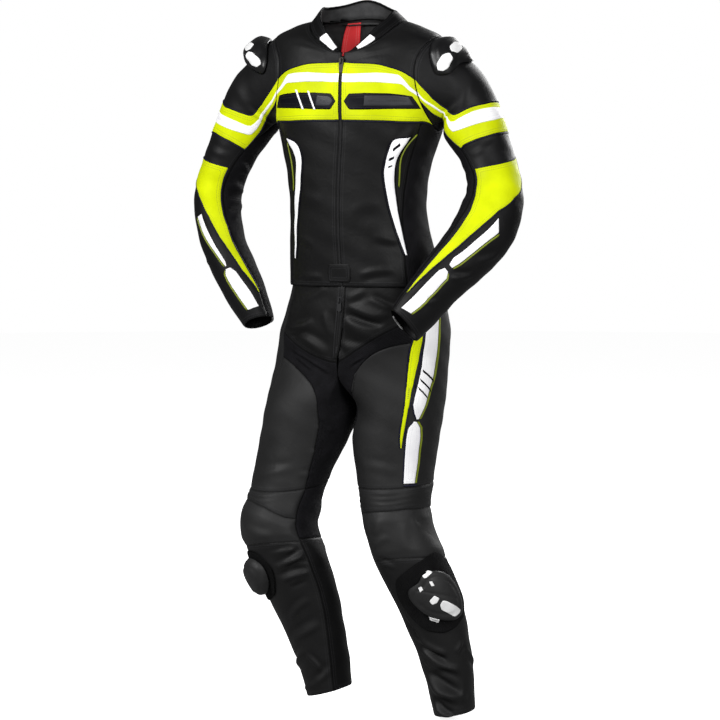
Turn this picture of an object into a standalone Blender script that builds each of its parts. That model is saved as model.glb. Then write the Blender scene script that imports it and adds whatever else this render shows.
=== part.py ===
"""Two-piece leather motorcycle race suit, filled out as if worn, with nobody in it.

The suit is three tube-like forms: a torso, two arms and two legs that share the
hips.  Every cut piece is a patch of one of these forms, between seams given as
an angle round the form and a row along it, with a wall of leather or stretch
cloth.  Pieces that are sewn on top use the same form, lifted off it.

Metres, +Z up, the front faces -Y, +X is the wearer's left.  The origin is the
middle of the neck opening, where a wearer's neck carries the suit.
"""
import bpy
import bmesh
import numpy as np
from math import cos, floor, pi, radians, sin, sqrt
from mathutils import Matrix, Vector

COLLECTION = "race_suit"

# ---------------------------------------------------------------- driving sizes
LEATHER = 0.0016            # wall of a leather piece
STRETCH = 0.0014            # wall of a stretch cloth piece
COLLAR_WALL = 0.0030        # collar: two layers and a foam
SEAM_BACK = 0.00020         # each piece stops this far short of its seam
LOW_LIFT = {"arm": .0009, "leg": .0010}     # of a small one on a smooth place
LIFT = {"torso": .0012, "arm": .0019, "leg": .0014, "collar": .0008}    # of a sewn-on piece
APPLIQUE = 0.0010           # wall of a sewn-on piece
SECOND_LIFT = {"torso": .0030, "arm": .0047}    # of one that lies on another
TUCK = 0.0046               # the trousers' top sits this far inside the jacket
SQUARENESS = 2.3            # 2 is an ellipse, more is squarer
CROTCH_SAG = 0.040
SPLIT = 130                 # leg angle of the front and back centre lines
ZIP_HALF = 1.85             # half angle of the jacket zip's tape on the torso
FLY_HALF = 1.75             # and of the fly's on the hips

# Torso sections, hem to neck.  z_* heights at the front, side and back; half
# width; depth to the front and to the back; centre; turn of the section in
# degrees towards the wearer's right.
TORSO_COLUMNS = ("z_front", "z_side", "z_back", "half_width", "front", "back", "x", "y", "turn")
TORSO = np.array([
    (-.486, -.486, -.500, .158, .110, .112, .010, .008, 8),     # hem
    (-.420, -.420, -.430, .148, .110, .106, .004, .004, 6),
    (-.340, -.340, -.345, .137, .112, .096, .000, .000, 3),     # waist
    (-.262, -.258, -.260, .145, .116, .104, .000, .000, 1),
    (-.190, -.180, -.185, .161, .120, .116, .000, .000, 0),     # armpit
    (-.125, -.105, -.110, .180, .120, .124, .000, .000, 0),     # chest
    (-.075, -.040, -.040, .184, .114, .118, .000, .000, 0),
    (-.048, .003, .008, .170, .106, .098, .000, .000, 0),       # shoulder tip
    (-.034, .024, .034, .132, .102, .080, .000, .000, 0),
    (-.026, .036, .048, .096, .098, .062, .000, .000, 0),       # neck
])
COLLAR_TOP = np.array((-.014, .060, .078, .074, .090, .048, .000, .000, 0))

# Hip sections below the two rows that repeat the jacket's hem, same columns.
HIPS = np.vstack([
    np.zeros((2, 9)),
    [(-.540, -.535, -.545, .168, .110, .124, .004, .012, 8),
     (-.600, -.580, -.590, .177, .108, .134, -.002, .016, 8),
     (-.662, -.634, -.646, .181, .100, .136, -.006, .020, 8)],  # crotch
])

# Limb sections: centre x, y, z; half width; half depth; tilt of the section's
# outer edge above level; rise of its front edge, both in degrees.
ARM = {
    "right": [
        (-.222, .010, -.120, .070, .066, 48, 0),
        (-.255, .012, -.171, .054, .062, 16, 0),
        (-.290, .014, -.240, .051, .060, 6, 0),
        (-.311, .014, -.313, .050, .056, 0, 0),                 # elbow
        (-.300, .010, -.390, .048, .054, -11, 2),
        (-.273, .004, -.450, .048, .052, -16, 4),
        (-.242, -.004, -.508, .044, .048, -20, 4),
        (-.213, -.008, -.566, .033, .042, -22, -4)],            # cuff
    "left": [
        (.215, .010, -.122, .062, .066, 51, 0),
        (.238, .008, -.177, .055, .062, 18, 0),
        (.264, .002, -.240, .050, .060, 6, 2),
        (.284, -.020, -.303, .054, .057, -12, 14),              # elbow
        (.278, -.055, -.362, .058, .054, -28, 26),
        (.250, -.090, -.416, .052, .050, -36, 28),
        (.207, -.128, -.475, .045, .047, -37, 28),
        (.170, -.158, -.527, .040, .044, -38, 27),
        (.146, -.172, -.558, .033, .042, -40, 26)],             # cuff
}
LEG = {
    "right": [
        (-.108, .014, -.725, .092, .100, 8, 0),
        (-.128, .006, -.799, .086, .092, 2, -2),
        (-.148, -.010, -.884, .079, .086, -2, -6),
        (-.161, -.030, -.966, .080, .082, -5, 2),               # knee
        (-.140, -.022, -1.052, .080, .076, -11, 12),
        (-.118, .002, -1.129, .072, .068, -13, 14),
        (-.102, .026, -1.204, .062, .060, -14, 14),
        (-.091, .044, -1.266, .054, .055, -15, 8),
        (-.084, .056, -1.330, .046, .050, -15, -4)],            # hem
    "left": [
        (.087, .014, -.722, .085, .098, 8, 0),
        (.077, .008, -.789, .084, .092, 4, -2),
        (.076, .000, -.877, .074, .084, 3, -2),
        (.084, -.010, -.955, .066, .080, 4, 2),                 # knee
        (.108, -.004, -1.035, .071, .075, 8, 8),
        (.139, .012, -1.115, .069, .067, 8, 10),
        (.163, .026, -1.201, .058, .058, 9, 8),
        (.177, .036, -1.268, .049, .053, 10, 8),
        (.187, .044, -1.352, .041, .048, 8, -4)],               # hem
}
SIDE = {"right": -1, "left": 1}

FRONT_COLUMNS, BACK_COLUMNS = 5, 8

# The armhole is an oval on the torso: its middle row, half height in rows and
# half width in degrees.  These are the angles round it where pieces have points.
ARMHOLE_ROW, ARMHOLE_HALF, ARMHOLE_WIDE = 5.55, 1.55, 31
ARMHOLE_FRONT = (130, 105, 80, 55, 28, 0)
UNDERARM = (130, 155, 180, 205, 230)
SIDE_SEAM = 60              # torso angle of the side seam at the hem

# Where the inner sleeve's front seam runs: row along the arm, angle round it.
SLEEVE_SEAM = {
    "right": [(0, 155), (1.2, 160), (1.75, 156), (2.55, 138), (3.25, 129), (3.8, 127), (4.4, 135),
              (5.65, 144), (7.15, 153), (8, 155)],
    "left": [(0, 155), (1.2, 160), (1.75, 154), (2.55, 126), (3.4, 121), (4.05, 123), (4.8, 122),
             (5.9, 126), (7.85, 127), (9, 128)],
}
SLEEVE_ROWS = (.004, .4, .8, 1.3, 2, 2.7, 3.4, 4.1, 4.8, 5.8, 6.9)

# Trousers: the yoke's lower seam and the top and inner seam of the thigh piece.
# Each row is (leg angle, leg row).  The two lists of a side run together.
YOKE_HEM = {
    "right": [(38, 2.90), (50, 3.12), (65, 3.33), (82, 3.48), (98, 3.55), (113, 3.58), (127.3, 3.58)],
    "left": [(38, 2.35), (50, 2.48), (65, 2.70), (82, 2.95), (98, 3.18), (113, 3.38), (127.3, 3.56)],
}
CROTCH_LINE = [(130, 4.0), (155, 4.0), (180, 4.0), (205, 4.0), (230, 4.0), (228, 4.6), (226, 5.3), (224, 6.1),
               (222, 7.05)]
THIGH_TOP = {
    "right": [(38, 3.80), (50, 3.97), (62, 4.10), (74, 4.22), (86, 4.32), (96, 4.42), (106, 4.55)],
    "left": [(38, 3.18), (50, 3.28), (62, 3.42), (74, 3.64), (86, 3.88), (98, 4.10), (110, 4.32)],
}
THIGH_INNER = {
    "right": [(112, 4.70), (116, 4.88), (120, 5.1), (124, 5.35), (128, 5.62), (132, 5.92), (137, 6.3), (143, 6.7),
              (149, 7.05)],
    "left": [(115, 4.54), (119, 4.76), (123, 5.0), (126, 5.25), (129, 5.55), (132, 5.9), (135, 6.3), (139, 6.7),
             (143, 7.05)],
}
SIDE_SEAM_LEG = 38
KNEE_TOP, KNEE_MIDDLE, HEM_ROW = 7.05, 7.65, 13
KNEE_HEM = {"right": 8.5, "left": 8.95}
SEAT_COLUMNS, THIGH_COLUMNS, STRETCH_COLUMNS = 8, 6, 3
CALF_SEAM_COLUMN = 4        # the calf's back seam goes on from this column of the seat
PLEATS, PLEAT_DEPTH = 3, .0026

# The largest folds: form, then start and end as (angle, row), width, height.
FOLDS = {
    "torso": [(-56, .62, -20, .45, .030, .0030), (18, .42, 52, .70, .030, .0030),
              (128, 1.5, 172, 1.15, .034, .0035), (190, 1.1, 232, 1.6, .034, .0035)],
    "arm_right": [(150, 3.6, 205, 3.9, .022, .0030), (160, 4.5, 215, 4.3, .022, .0026)],
    "arm_left": [(150, 3.7, 205, 4.1, .022, .0032), (158, 4.8, 210, 4.6, .022, .0028)],
    "leg_right": [(58, 2.6, 112, 2.25, .030, .0030), (-100, 7.6, -160, 7.9, .034, .0040),
                  (-150, 8.6, -95, 8.3, .034, .0036), (60, 11.2, 130, 10.5, .034, .0034),
                  (20, 12.1, 95, 11.6, .032, .0030)],
    "leg_left": [(52, 2.35, 118, 1.75, .030, .0036), (-100, 7.7, -160, 8.0, .034, .0040),
                 (-150, 8.7, -95, 8.4, .034, .0036), (150, 10.6, 80, 11.2, .034, .0034),
                 (110, 11.6, 30, 12.2, .032, .0030)],
}
FORM_SCALE = {"torso": (.0023, .075), "arm": (.00095, .070), "leg": (.0014, .078)}

# A sewn-on piece's widest facet: degrees round its form, rows along it.
FINE = {"torso": (9, .6), "arm": (18, .5), "leg": (14, .5), "collar": (12, .6)}

# Sewn-on pieces: rows of (edge point, edge point) as angle and row on the form.
CHEST_YELLOW = [((3, 6.68), (3, 4.40)), ((18, 6.50), (18, 4.38)), ((32, 6.28), (34, 4.34)), ((46, 5.92), (50, 4.32)),
                ((57, 5.62), (64, 4.36))]
CHEST_WHITE = [((3, 6.02), (3, 5.66)), ((18, 5.92), (18, 5.60)), ((32, 5.82), (34, 5.48)), ((44, 5.70), (47, 5.35)),
               ((54.5, 5.48), (55.5, 5.26))]
VENT = [((51, 3.72), (55, 3.80)), ((44, 3.50), (53, 3.50)), ((42, 3.00), (50, 3.00)), ((44, 2.50), (50, 2.50)),
        ((48.5, 2.0), (53, 2.0)), ((53, 1.4), (56, 1.4)), ((57, .92), (59, .94))]
SLEEVE_YELLOW = {
    "right": [((-80, 1.50), (-80, 2.20)), ((-40, 1.52), (-40, 2.22)), ((0, 1.55), (0, 2.25)), ((54, 1.60), (54, 2.27)),
              ((95, 1.50), (100, 2.40)), ((124, 1.40), (134, 2.52)), ((121, .95), (149, 1.75)),
              ((108, .40), (146, .80)), ((90, .03), (118, .03))],
    "left": [((-80, 1.60), (-80, 2.30)), ((-40, 1.62), (-40, 2.32)), ((0, 1.64), (0, 2.34)), ((40, 1.62), (36, 2.36)),
             ((75, 1.55), (78, 2.42)), ((106, 1.48), (120, 2.50)), ((126, .95), (146, 1.75)),
             ((116, .45), (148, .85)), ((90, .03), (118, .03))],
}
SLEEVE_WHITE = {
    "right": [((-80, 1.68), (-80, 1.95)), ((-40, 1.70), (-40, 1.97)), ((0, 1.74), (0, 2.0)), ((51, 1.80), (51, 2.05)),
              ((90, 1.72), (90, 2.09)), ((121, 1.62), (126, 2.06)), ((128, 1.10), (140, 1.35)),
              ((114, .42), (126, .55)), ((97, .05), (106, .05))],
    "left": [((-80, 1.74), (-80, 1.99)), ((-40, 1.75), (-40, 2.0)), ((0, 1.76), (0, 2.01)), ((36, 1.74), (34, 2.04)),
             ((70, 1.68), (72, 2.06)), ((104, 1.62), (114, 2.02)), ((132, 1.05), (143, 1.30)),
             ((122, .50), (134, .62)), ((97, .05), (106, .05))],
}
FOREARM_YELLOW = {
    "right": [((-20, 3.00), (125, 3.25)), ((-12, 3.30), (123, 3.50)), ((33, 3.60), (122, 3.80)),
              ((60, 4.00), (125, 4.10)), ((93, 4.60), (133, 4.70)), ((114, 5.75), (140, 5.75)), ((146, 7.05), (150, 7.10))],
    "left": [((-20, 3.00), (116, 3.35)), ((-15, 3.40), (117, 3.70)), ((3, 3.75), (119, 4.05)),
             ((40, 4.30), (117, 4.50)), ((72, 4.90), (117, 5.00)), ((96, 6.15), (121, 6.20)), ((117, 7.75), (122, 7.80))],
}
FOREARM_WHITE = {
    "right": [((60, 4.80), (66, 4.50)), ((70, 5.50), (84, 5.30)), ((80, 6.15), (95, 6.00)), ((84, 6.50), (102, 6.40)),
              ((90, 7.10), (117, 7.00)), ((95, 7.60), (132, 7.55))],
    "left": [((45, 5.10), (57, 4.90)), ((50, 5.90), (68, 5.80)), ((54, 6.65), (77, 6.65)), ((56, 7.20), (80, 7.20)),
             ((59, 7.80), (88, 7.80)), ((63, 8.50), (98, 8.60))],
}
THIGH_YELLOW = [((30, 3.00), (40, 3.14)), ((36, 3.60), (46, 3.75)), ((43, 4.30), (53, 4.35)), ((48, 4.90), (57, 4.90)),
                ((53, 5.50), (58, 5.50)), ((56, 6.08), (58, 6.10))]
THIGH_WHITE = [((13, 2.50), (24, 2.78)), ((20, 3.40), (31, 3.55)), ((26, 4.20), (38, 4.30)), ((31, 4.90), (44, 4.90)),
               ((34, 5.40), (49, 5.40)), ((34, 6.20), (51, 6.20)), ((33, 6.98), (51, 6.95))]
NECK_LABEL = [((188, 7.7), (204, 7.7)), ((188, 8.9), (204, 8.9))]
COLLAR_TAB = [((13, .22), (13, .80)), ((24, .24), (24, .78)), ((36, .26), (36, .76))]
STRIPE_TURN = {"right": -40, "left": 0}     # the right leg's stripe sits further round

# Round hard pieces: centre (angle, row), reach (angle, rows), roll of the shape.
SHOULDER_CUP = {"right": (22, .50, 44, .46, 0), "left": (22, .50, 44, .46, 0)}
KNEE_BASE = {"right": (20, 9.35, 46, .88, 12), "left": (48, 9.85, 48, .92, 12)}
KNEE_PUCK = {"right": (18, 9.35, 27, .56, 12), "left": (45, 9.92, 29, .58, 12)}
CUP_LIFT, CUP_WALL, CUP_DOME = .0014, .0035, .007
BASE_WALL = .0028
PUCK_FOOT, PUCK_WALL, PUCK_DOME = .0048, .0045, .010

# Zip pull tabs, hung on a bridge on their slider.
SLIDER = Vector((.0095, .0030, .0130))
BRIDGE_WIDE, BRIDGE_POST, BRIDGE_REACH = .0022, .0016, .0034
PULL_WIDE, PULL_LONG, PULL_THICK = .0078, .0240, .0012
PULL_WINDOW = (.0034, .0062)
JACKET_SLIDER_ROW, FLY_SLIDER_Z = 6.95, -.512

COLOURS = {                 # colour, roughness, metallic
    "leather": ((.030, .030, .032), .48, 0),
    "stretch": ((.012, .012, .016), .80, 0),
    "yellow": ((.74, .84, .02), .45, 0),
    "white": ((.86, .86, .88), .42, 0),
    "red": ((.70, .03, .03), .70, 0),
    "tape": ((.015, .015, .016), .70, 0),
    "metal": ((.10, .09, .08), .40, .8),
    "plastic": ((.020, .020, .022), .35, 0),
}


# ---------------------------------------------------------------- forms
def spline(at, last, v):
    """A smooth curve through at(0) .. at(last), read at v."""
    i = int(min(max(floor(v), 0), last - 1))
    f = v - i
    p0, p1, p2, p3 = at(max(i - 1, 0)), at(i), at(i + 1), at(min(i + 2, last))
    return 0.5 * (2 * p1 + (p2 - p0) * f + (2 * p0 - 5 * p1 + 4 * p2 - p3) * f * f
                  + (3 * p1 - p0 - 3 * p2 + p3) * f ** 3)


def section(values, angle):
    """A point of a body section; angle 0 is the front, 90 the wearer's left."""
    z_front, z_side, z_back, wide, front, back, x0, y0, turn = values
    c, s = cos(radians(angle)), sin(radians(angle))
    depth = front if c > 0 else back
    reach = (abs(c / depth) ** SQUARENESS + abs(s / wide) ** SQUARENESS) ** (-1 / SQUARENESS)
    x, y = reach * s, -reach * c
    k = radians(turn)
    z = z_side + ((z_front if c > 0 else z_back) - z_side) * c * c
    return np.array((x0 + x * cos(k) + y * sin(k), y0 - x * sin(k) + y * cos(k), z))


def torso(angle, row):
    return section(spline(lambda i: TORSO[i], len(TORSO) - 1, row), angle)


def collar(angle, row):
    return section(TORSO[-1] * (1 - row) + COLLAR_TOP * row, angle)


def ring(side, values, angle, turn=0):
    """A point of a limb section; angle 0 is outer, 90 front, 180 inner."""
    x, y, z, wide, deep, tilt, rise = values
    p, k, w, t = radians(angle), radians(tilt), radians(rise), radians(turn)
    out = np.array((SIDE[side] * cos(k), 0, sin(k)))
    fore = np.array((0, -cos(w), sin(w)))
    a, b, c = wide * cos(p) * out + deep * sin(p) * fore
    return np.array((x + a * cos(t) + b * sin(t), y - a * sin(t) + b * cos(t), z + c))


def armhole(side, angle):
    """The torso's (angle, row) at an angle round the armhole, 0 at the shoulder tip."""
    p = radians(angle)
    return SIDE[side] * (90 - ARMHOLE_WIDE * sin(p)), ARMHOLE_ROW + ARMHOLE_HALF * cos(p)


def arm(side, angle, row):
    def at(i):
        if i == 0:
            return torso(*armhole(side, angle))
        return ring(side, ARM[side][i - 1], angle)
    return spline(at, len(ARM[side]), row)


def smooth(x):
    x = min(max(x, 0), 1)
    return x * x * (3 - 2 * x)


def hip(angle, i):
    return section(HIPS[i], angle)


def hips(angle, row):
    """The hips' own form, which both legs share at the centre lines."""
    return section(spline(lambda i: HIPS[i], len(HIPS) - 1, row), angle)


def leg(side, angle, row):
    """Hips above the crotch row, then the leg; angles past SPLIT are the inner thigh."""
    angle = (angle + 180) % 360 - 180
    crotch = len(HIPS)
    other = "left" if side == "right" else "right"
    past = abs(angle) - SPLIT

    def at(i):
        if i >= crotch:
            own = ring(side, LEG[side][i - crotch], angle, HIPS[-1][8])
            if row >= crotch - 1 or i > crotch:
                return own
            across = ring(other, LEG[other][0], angle, HIPS[-1][8])
            return own + (across - own) * .5 * smooth(1 + past / 30)
        if past <= 0:
            return hip(SIDE[side] * (90 - angle * 90 / SPLIT), i)
        if i == crotch - 1:
            share = past / (180 - SPLIT) / 2
            share = share if angle > 0 else 1 - share
            point = hip(0, i) * (1 - share) + hip(180, i) * share
            point[2] -= CROTCH_SAG * 4 * share * (1 - share)
            return point
        blend = smooth(past / 20)
        across = ring(other, LEG[other][0], angle, HIPS[-1][8])
        return hip(0 if angle > 0 else 180, i) * (1 - blend) + across * blend
    return spline(at, crotch + len(LEG[side]) - 1, row)


def fold(kind, angle, row):
    """How far the largest folds stand out of the form here."""
    across, along = FORM_SCALE[kind.split("_")[0]]
    p = np.array((angle * across, row * along))
    total = 0
    for a0, r0, a1, r1, width, height in FOLDS[kind]:
        start = np.array((a0 * across, r0 * along))
        run = np.array((a1 * across, r1 * along)) - start
        t = float(np.dot(p - start, run) / np.dot(run, run))
        if -0.2 < t < 1.2:
            off = float(np.linalg.norm(p - start - t * run)) / (width / 2)
            taper = max(0, 1 - (2 * abs(t - .5)) ** 3) if 0 <= t <= 1 else 0
            total += height * taper * np.exp(-off * off * 1.5)
    return total


def form_of(kind, angle, row):
    """The form a piece lies on here, and the sign that turns its normal outwards."""
    if kind in ("torso", "collar", "hips"):
        return {"torso": torso, "collar": collar, "hips": hips}[kind], -1 if kind == "hips" else 1
    limb, side = kind.split("_")
    if limb == "arm":
        return (lambda a, r: arm(side, a, r)), SIDE[side]
    if abs(abs((angle + 180) % 360 - 180) - SPLIT) < .01 and row < len(HIPS) - .99:
        centre = 0 if (angle + 180) % 360 > 180 else 180
        return (lambda a, r: hips(centre + a - angle, min(r, len(HIPS) - 1))), -1
    return (lambda a, r: leg(side, a, r)), SIDE[side]


def skin(kind, angle, row, lift):
    """The point lifted off a form along its outward normal, folds included."""
    form, out = form_of(kind, angle, row)
    step = .01
    here = form(angle, row)
    round_it = form(angle + .5, row) - form(angle - .5, row)
    crotch = kind.startswith("leg") and abs(row - len(HIPS) + 1) < .001 and SPLIT < angle % 360 < 360 - SPLIT
    along = form(angle, row + step) - (here if crotch else form(angle, max(row - step, 0)))
    normal = np.cross(round_it, along)
    normal *= out / np.linalg.norm(normal)
    if kind in FOLDS:
        turned = angle % 360 if kind == "torso" and abs(angle) > 90 else (angle + 180) % 360 - 180
        lift = lift + fold(kind, turned, row)
    return here + normal * lift


# ---------------------------------------------------------------- patches
def edge(start, end, count):
    """count steps in a straight line on the form, from start to end."""
    return [tuple(np.array(start) + (np.array(end) - np.array(start)) * i / count) for i in range(count + 1)]


def coons(bottom, top, left, right):
    """The (angle, row) net between four edges; bottom and top run left to right."""
    bottom, top, left, right = (np.array(e, float) for e in (bottom, top, left, right))
    n, m = len(bottom) - 1, len(left) - 1
    net = []
    for j in range(m + 1):
        t = j / m
        line = []
        for i in range(n + 1):
            s = i / n
            line.append((1 - t) * bottom[i] + t * top[i] + (1 - s) * left[j] + s * right[j]
                        - (1 - s) * (1 - t) * bottom[0] - s * (1 - t) * bottom[-1]
                        - (1 - s) * t * top[0] - s * t * top[-1])
        net.append(line)
    return net


def strip(pairs, across):
    """A net from rows of (edge point, edge point), with points between them."""
    return [edge(a, b, across) for a, b in pairs]


def close_net(pairs, turn, rise):
    """A strip whose cells are no wider than turn degrees or taller than rise rows.

    A sewn-on piece is cut this fine so that its flat facets stay clear of the
    corners of the piece under it.
    """
    def steps(a, b):
        return max(abs(a[0] - b[0]) / turn, abs(a[1] - b[1]) / rise)
    rows = []
    for (a, b), (c, d) in zip(pairs, pairs[1:]):
        count = max(1, int(np.ceil(max(steps(a, c), steps(b, d)))))
        rows += list(zip(edge(a, c, count)[:-1], edge(b, d, count)[:-1]))
    rows.append(tuple(pairs[-1]))
    across = max(1, int(np.ceil(max(steps(a, b) for a, b in rows))))
    return strip(rows, across)


def material(colour):
    mat = bpy.data.materials.get(colour)
    if mat is None:
        mat = bpy.data.materials.new(colour)
        mat.use_nodes = True
        shader = mat.node_tree.nodes["Principled BSDF"]
        rgb, rough, metal = COLOURS[colour]
        shader.inputs["Base Color"].default_value = (*rgb, 1)
        shader.inputs["Roughness"].default_value = rough
        shader.inputs["Metallic"].default_value = metal
        mat.diffuse_color = (*rgb, 1)
    return mat


def add_object(name, bm, colour):
    """Closes a bmesh into a named object of the suit, its faces pointing out."""
    if bm.calc_volume(signed=True) < 0:
        bmesh.ops.reverse_faces(bm, faces=bm.faces[:])
    mesh = bpy.data.meshes.new(name)
    bm.to_mesh(mesh)
    bm.free()
    mesh.materials.append(material(colour))
    obj = bpy.data.objects.new(name, mesh)
    bpy.data.collections[COLLECTION].objects.link(obj)
    return obj


def pulled_back(points):
    """Moves the border of a net of points inwards, so that seams stay open."""
    moved = points.copy()
    for here, there in ((np.s_[0, :], np.s_[1, :]), (np.s_[-1, :], np.s_[-2, :]),
                        (np.s_[:, 0], np.s_[:, 1]), (np.s_[:, -1], np.s_[:, -2])):
        step = points[there] - points[here]
        moved[here] += SEAM_BACK * step / np.maximum(np.linalg.norm(step, axis=-1, keepdims=True), 1e-9)
    return moved


def thicken(bm):
    """Gives a flat grid a wall one unit high, closed all round."""
    raised = bmesh.ops.extrude_face_region(bm, geom=bm.faces[:])
    new = [v for v in raised["geom"] if isinstance(v, bmesh.types.BMVert)]
    bmesh.ops.translate(bm, verts=new, vec=(0, 0, 1))
    bmesh.ops.recalc_face_normals(bm, faces=bm.faces[:])


def panel(name, kind, net, colour, wall=LEATHER, base=0.0, dome=0.0, ripple=None):
    """A cut piece: a flat grid, given a wall, and laid on its form.

    base is the height of its under side above the form; a cut piece hangs its
    wall below the form, a sewn-on piece has base above it.
    """
    rows, columns = len(net), len(net[0])
    bm = bmesh.new()
    bmesh.ops.create_grid(bm, x_segments=columns - 1, y_segments=rows - 1, size=.5)
    thicken(bm)
    layers = []
    for lift in (base, base + wall):
        points = np.zeros((rows, columns, 3))
        for j in range(rows):
            for i in range(columns):
                extra = ripple(i, j, columns, rows) if ripple else 0
                if dome and lift > base:
                    s, t = 2 * i / (columns - 1) - 1, 2 * j / (rows - 1) - 1
                    extra += dome * (1 - s * s) * (1 - t * t)
                points[j, i] = skin(kind, net[j][i][0], net[j][i][1], lift + extra)
        layers.append(pulled_back(points))
    for v in bm.verts:
        i = round((v.co.x + .5) * (columns - 1))
        j = round((v.co.y + .5) * (rows - 1))
        v.co = Vector(layers[round(v.co.z)][j, i])
    return add_object(name, bm, colour)


def sewn_on(name, kind, pairs, colour, lifts=LIFT, wall=APPLIQUE):
    """A piece on top of others, from rows of edge points on its form."""
    family = kind.split("_")[0]
    panel(name, kind, close_net(pairs, *FINE[family]), colour, wall=wall, base=lifts[family])


def disc_net(centre, reach, roll, count, scale=1):
    """A net that fills an oval on a form: a square grid rounded to a disc."""
    net = []
    k = radians(roll)
    for j in range(count + 1):
        line = []
        for i in range(count + 1):
            s, t = 2 * i / count - 1, 2 * j / count - 1
            x, y = s * sqrt(1 - t * t / 2), t * sqrt(1 - s * s / 2)
            a, b = x * cos(k) - y * sin(k), x * sin(k) + y * cos(k)
            line.append((centre[0] + scale * reach[0] * a, centre[1] + scale * reach[1] * b))
        net.append(line)
    return net


# ---------------------------------------------------------------- jacket
def side_seam(row):
    """The torso angle of the side seam, which swings out to the armhole."""
    top = 90 - ARMHOLE_WIDE * sin(radians(UNDERARM[0]))
    share = row / (ARMHOLE_ROW + ARMHOLE_HALF * cos(radians(UNDERARM[0])))
    return SIDE_SEAM + (top - SIDE_SEAM) * share * share


def torso_edge(side):
    """Outer edge of a front or back piece: side seam, armhole, shoulder seam."""
    low = armhole(side, UNDERARM[0])[1]
    points = [(SIDE[side] * side_seam(low * i / 5), low * i / 5) for i in range(5)]
    points += [armhole(side, a) for a in ARMHOLE_FRONT]
    points += [(SIDE[side] * 90, row) for row in (8, 9)]
    return points


def mirrored(points):
    """The same line on the back of the torso."""
    return [(180 - angle if angle > 0 else -180 - angle, row) for angle, row in points]


def torso_pieces():
    for side, s in SIDE.items():
        outer = torso_edge(side)
        inner = [(2 * s, row) for _, row in outer]
        panel("front_" + side, "torso", strip(list(zip(inner, outer)), FRONT_COLUMNS), "leather", base=-LEATHER)
        under = [armhole(side, a) for a in UNDERARM]
        reach = 90 - abs(under[0][0])
        net = []
        for j in range(6):
            swing = (90 - side_seam(under[0][1] * j / 5)) / reach
            net.append([(s * (90 + (abs(a) - 90) * swing), row * j / 5) for a, row in under])
        panel("side_" + side, "torso", net, "stretch", wall=STRETCH, base=-STRETCH)
    left = mirrored(torso_edge("left"))
    right = [(a + 360, row) for a, row in mirrored(torso_edge("right"))]
    panel("back", "torso", strip(list(zip(left, right)), BACK_COLUMNS), "leather", base=-LEATHER)
    rows = [row for _, row in torso_edge("left")[:-2]]
    panel("jacket_zip", "torso", strip([((-ZIP_HALF, r), (ZIP_HALF, r)) for r in rows], 1), "tape",
          wall=.0011, base=-.0014)
    panel("neck_label", "torso", close_net(NECK_LABEL, 8, .6), "red", base=-.0041, wall=.0008)
    front = [2 + 88 * i / FRONT_COLUMNS for i in range(1, FRONT_COLUMNS + 1)]
    back = [90 + 180 * i / BACK_COLUMNS for i in range(1, BACK_COLUMNS)]
    round_it = [4] + front + back + [360 - a for a in reversed(front)] + [356]
    panel("collar", "collar", [[(a, row) for a in round_it] for row in (.035, .5, 1)], "leather",
          wall=COLLAR_WALL, base=-COLLAR_WALL)


def sleeve_seam(side, row):
    """The angle of the inner sleeve's front seam at a row of the arm."""
    rows, angles = zip(*SLEEVE_SEAM[side])
    return float(np.interp(row, rows, angles))


def sleeve_pieces():
    seam_at = UNDERARM[1]
    half = (seam_at,) + ARMHOLE_FRONT
    whole = [-a for a in half] + list(half[-2::-1])
    for side in SIDE:
        outer, inner = [], []
        for row in SLEEVE_ROWS + (len(ARM[side]),):
            seam = sleeve_seam(side, row)
            outer.append([(a * seam / seam_at, row) for a in whole])
            inner.append([(180 + (a - 180) * (180 - seam) / (180 - seam_at), row) for a in UNDERARM[1:4]])
        panel("sleeve_outer_" + side, "arm_" + side, outer, "leather", base=-LEATHER)
        panel("sleeve_inner_" + side, "arm_" + side, inner, "stretch", wall=STRETCH, base=-STRETCH)


def jacket_trim():
    for side, s in SIDE.items():
        def turned(rows):
            return [[(s * a, r) for a, r in pair] for pair in rows]
        form = "arm_" + side
        sewn_on("chest_yellow_" + side, "torso", turned(CHEST_YELLOW), "yellow")
        sewn_on("chest_white_" + side, "torso", turned(CHEST_WHITE), "white", SECOND_LIFT)
        sewn_on("vent_" + side, "torso", turned(VENT), "white")
        sewn_on("sleeve_yellow_" + side, form, SLEEVE_YELLOW[side], "yellow")
        sewn_on("sleeve_white_" + side, form, SLEEVE_WHITE[side], "white", SECOND_LIFT)
        sewn_on("forearm_yellow_" + side, form, FOREARM_YELLOW[side], "yellow")
        sewn_on("forearm_white_" + side, form, FOREARM_WHITE[side], "white", LOW_LIFT)
        a, r, ra, rr, roll = SHOULDER_CUP[side]
        panel("shoulder_cup_" + side, form, disc_net((a, r), (ra, rr), roll, 5), "plastic", wall=CUP_WALL,
              base=CUP_LIFT, dome=CUP_DOME)
        sewn_on("collar_tab_" + side, "collar", turned(COLLAR_TAB), "white")


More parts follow.
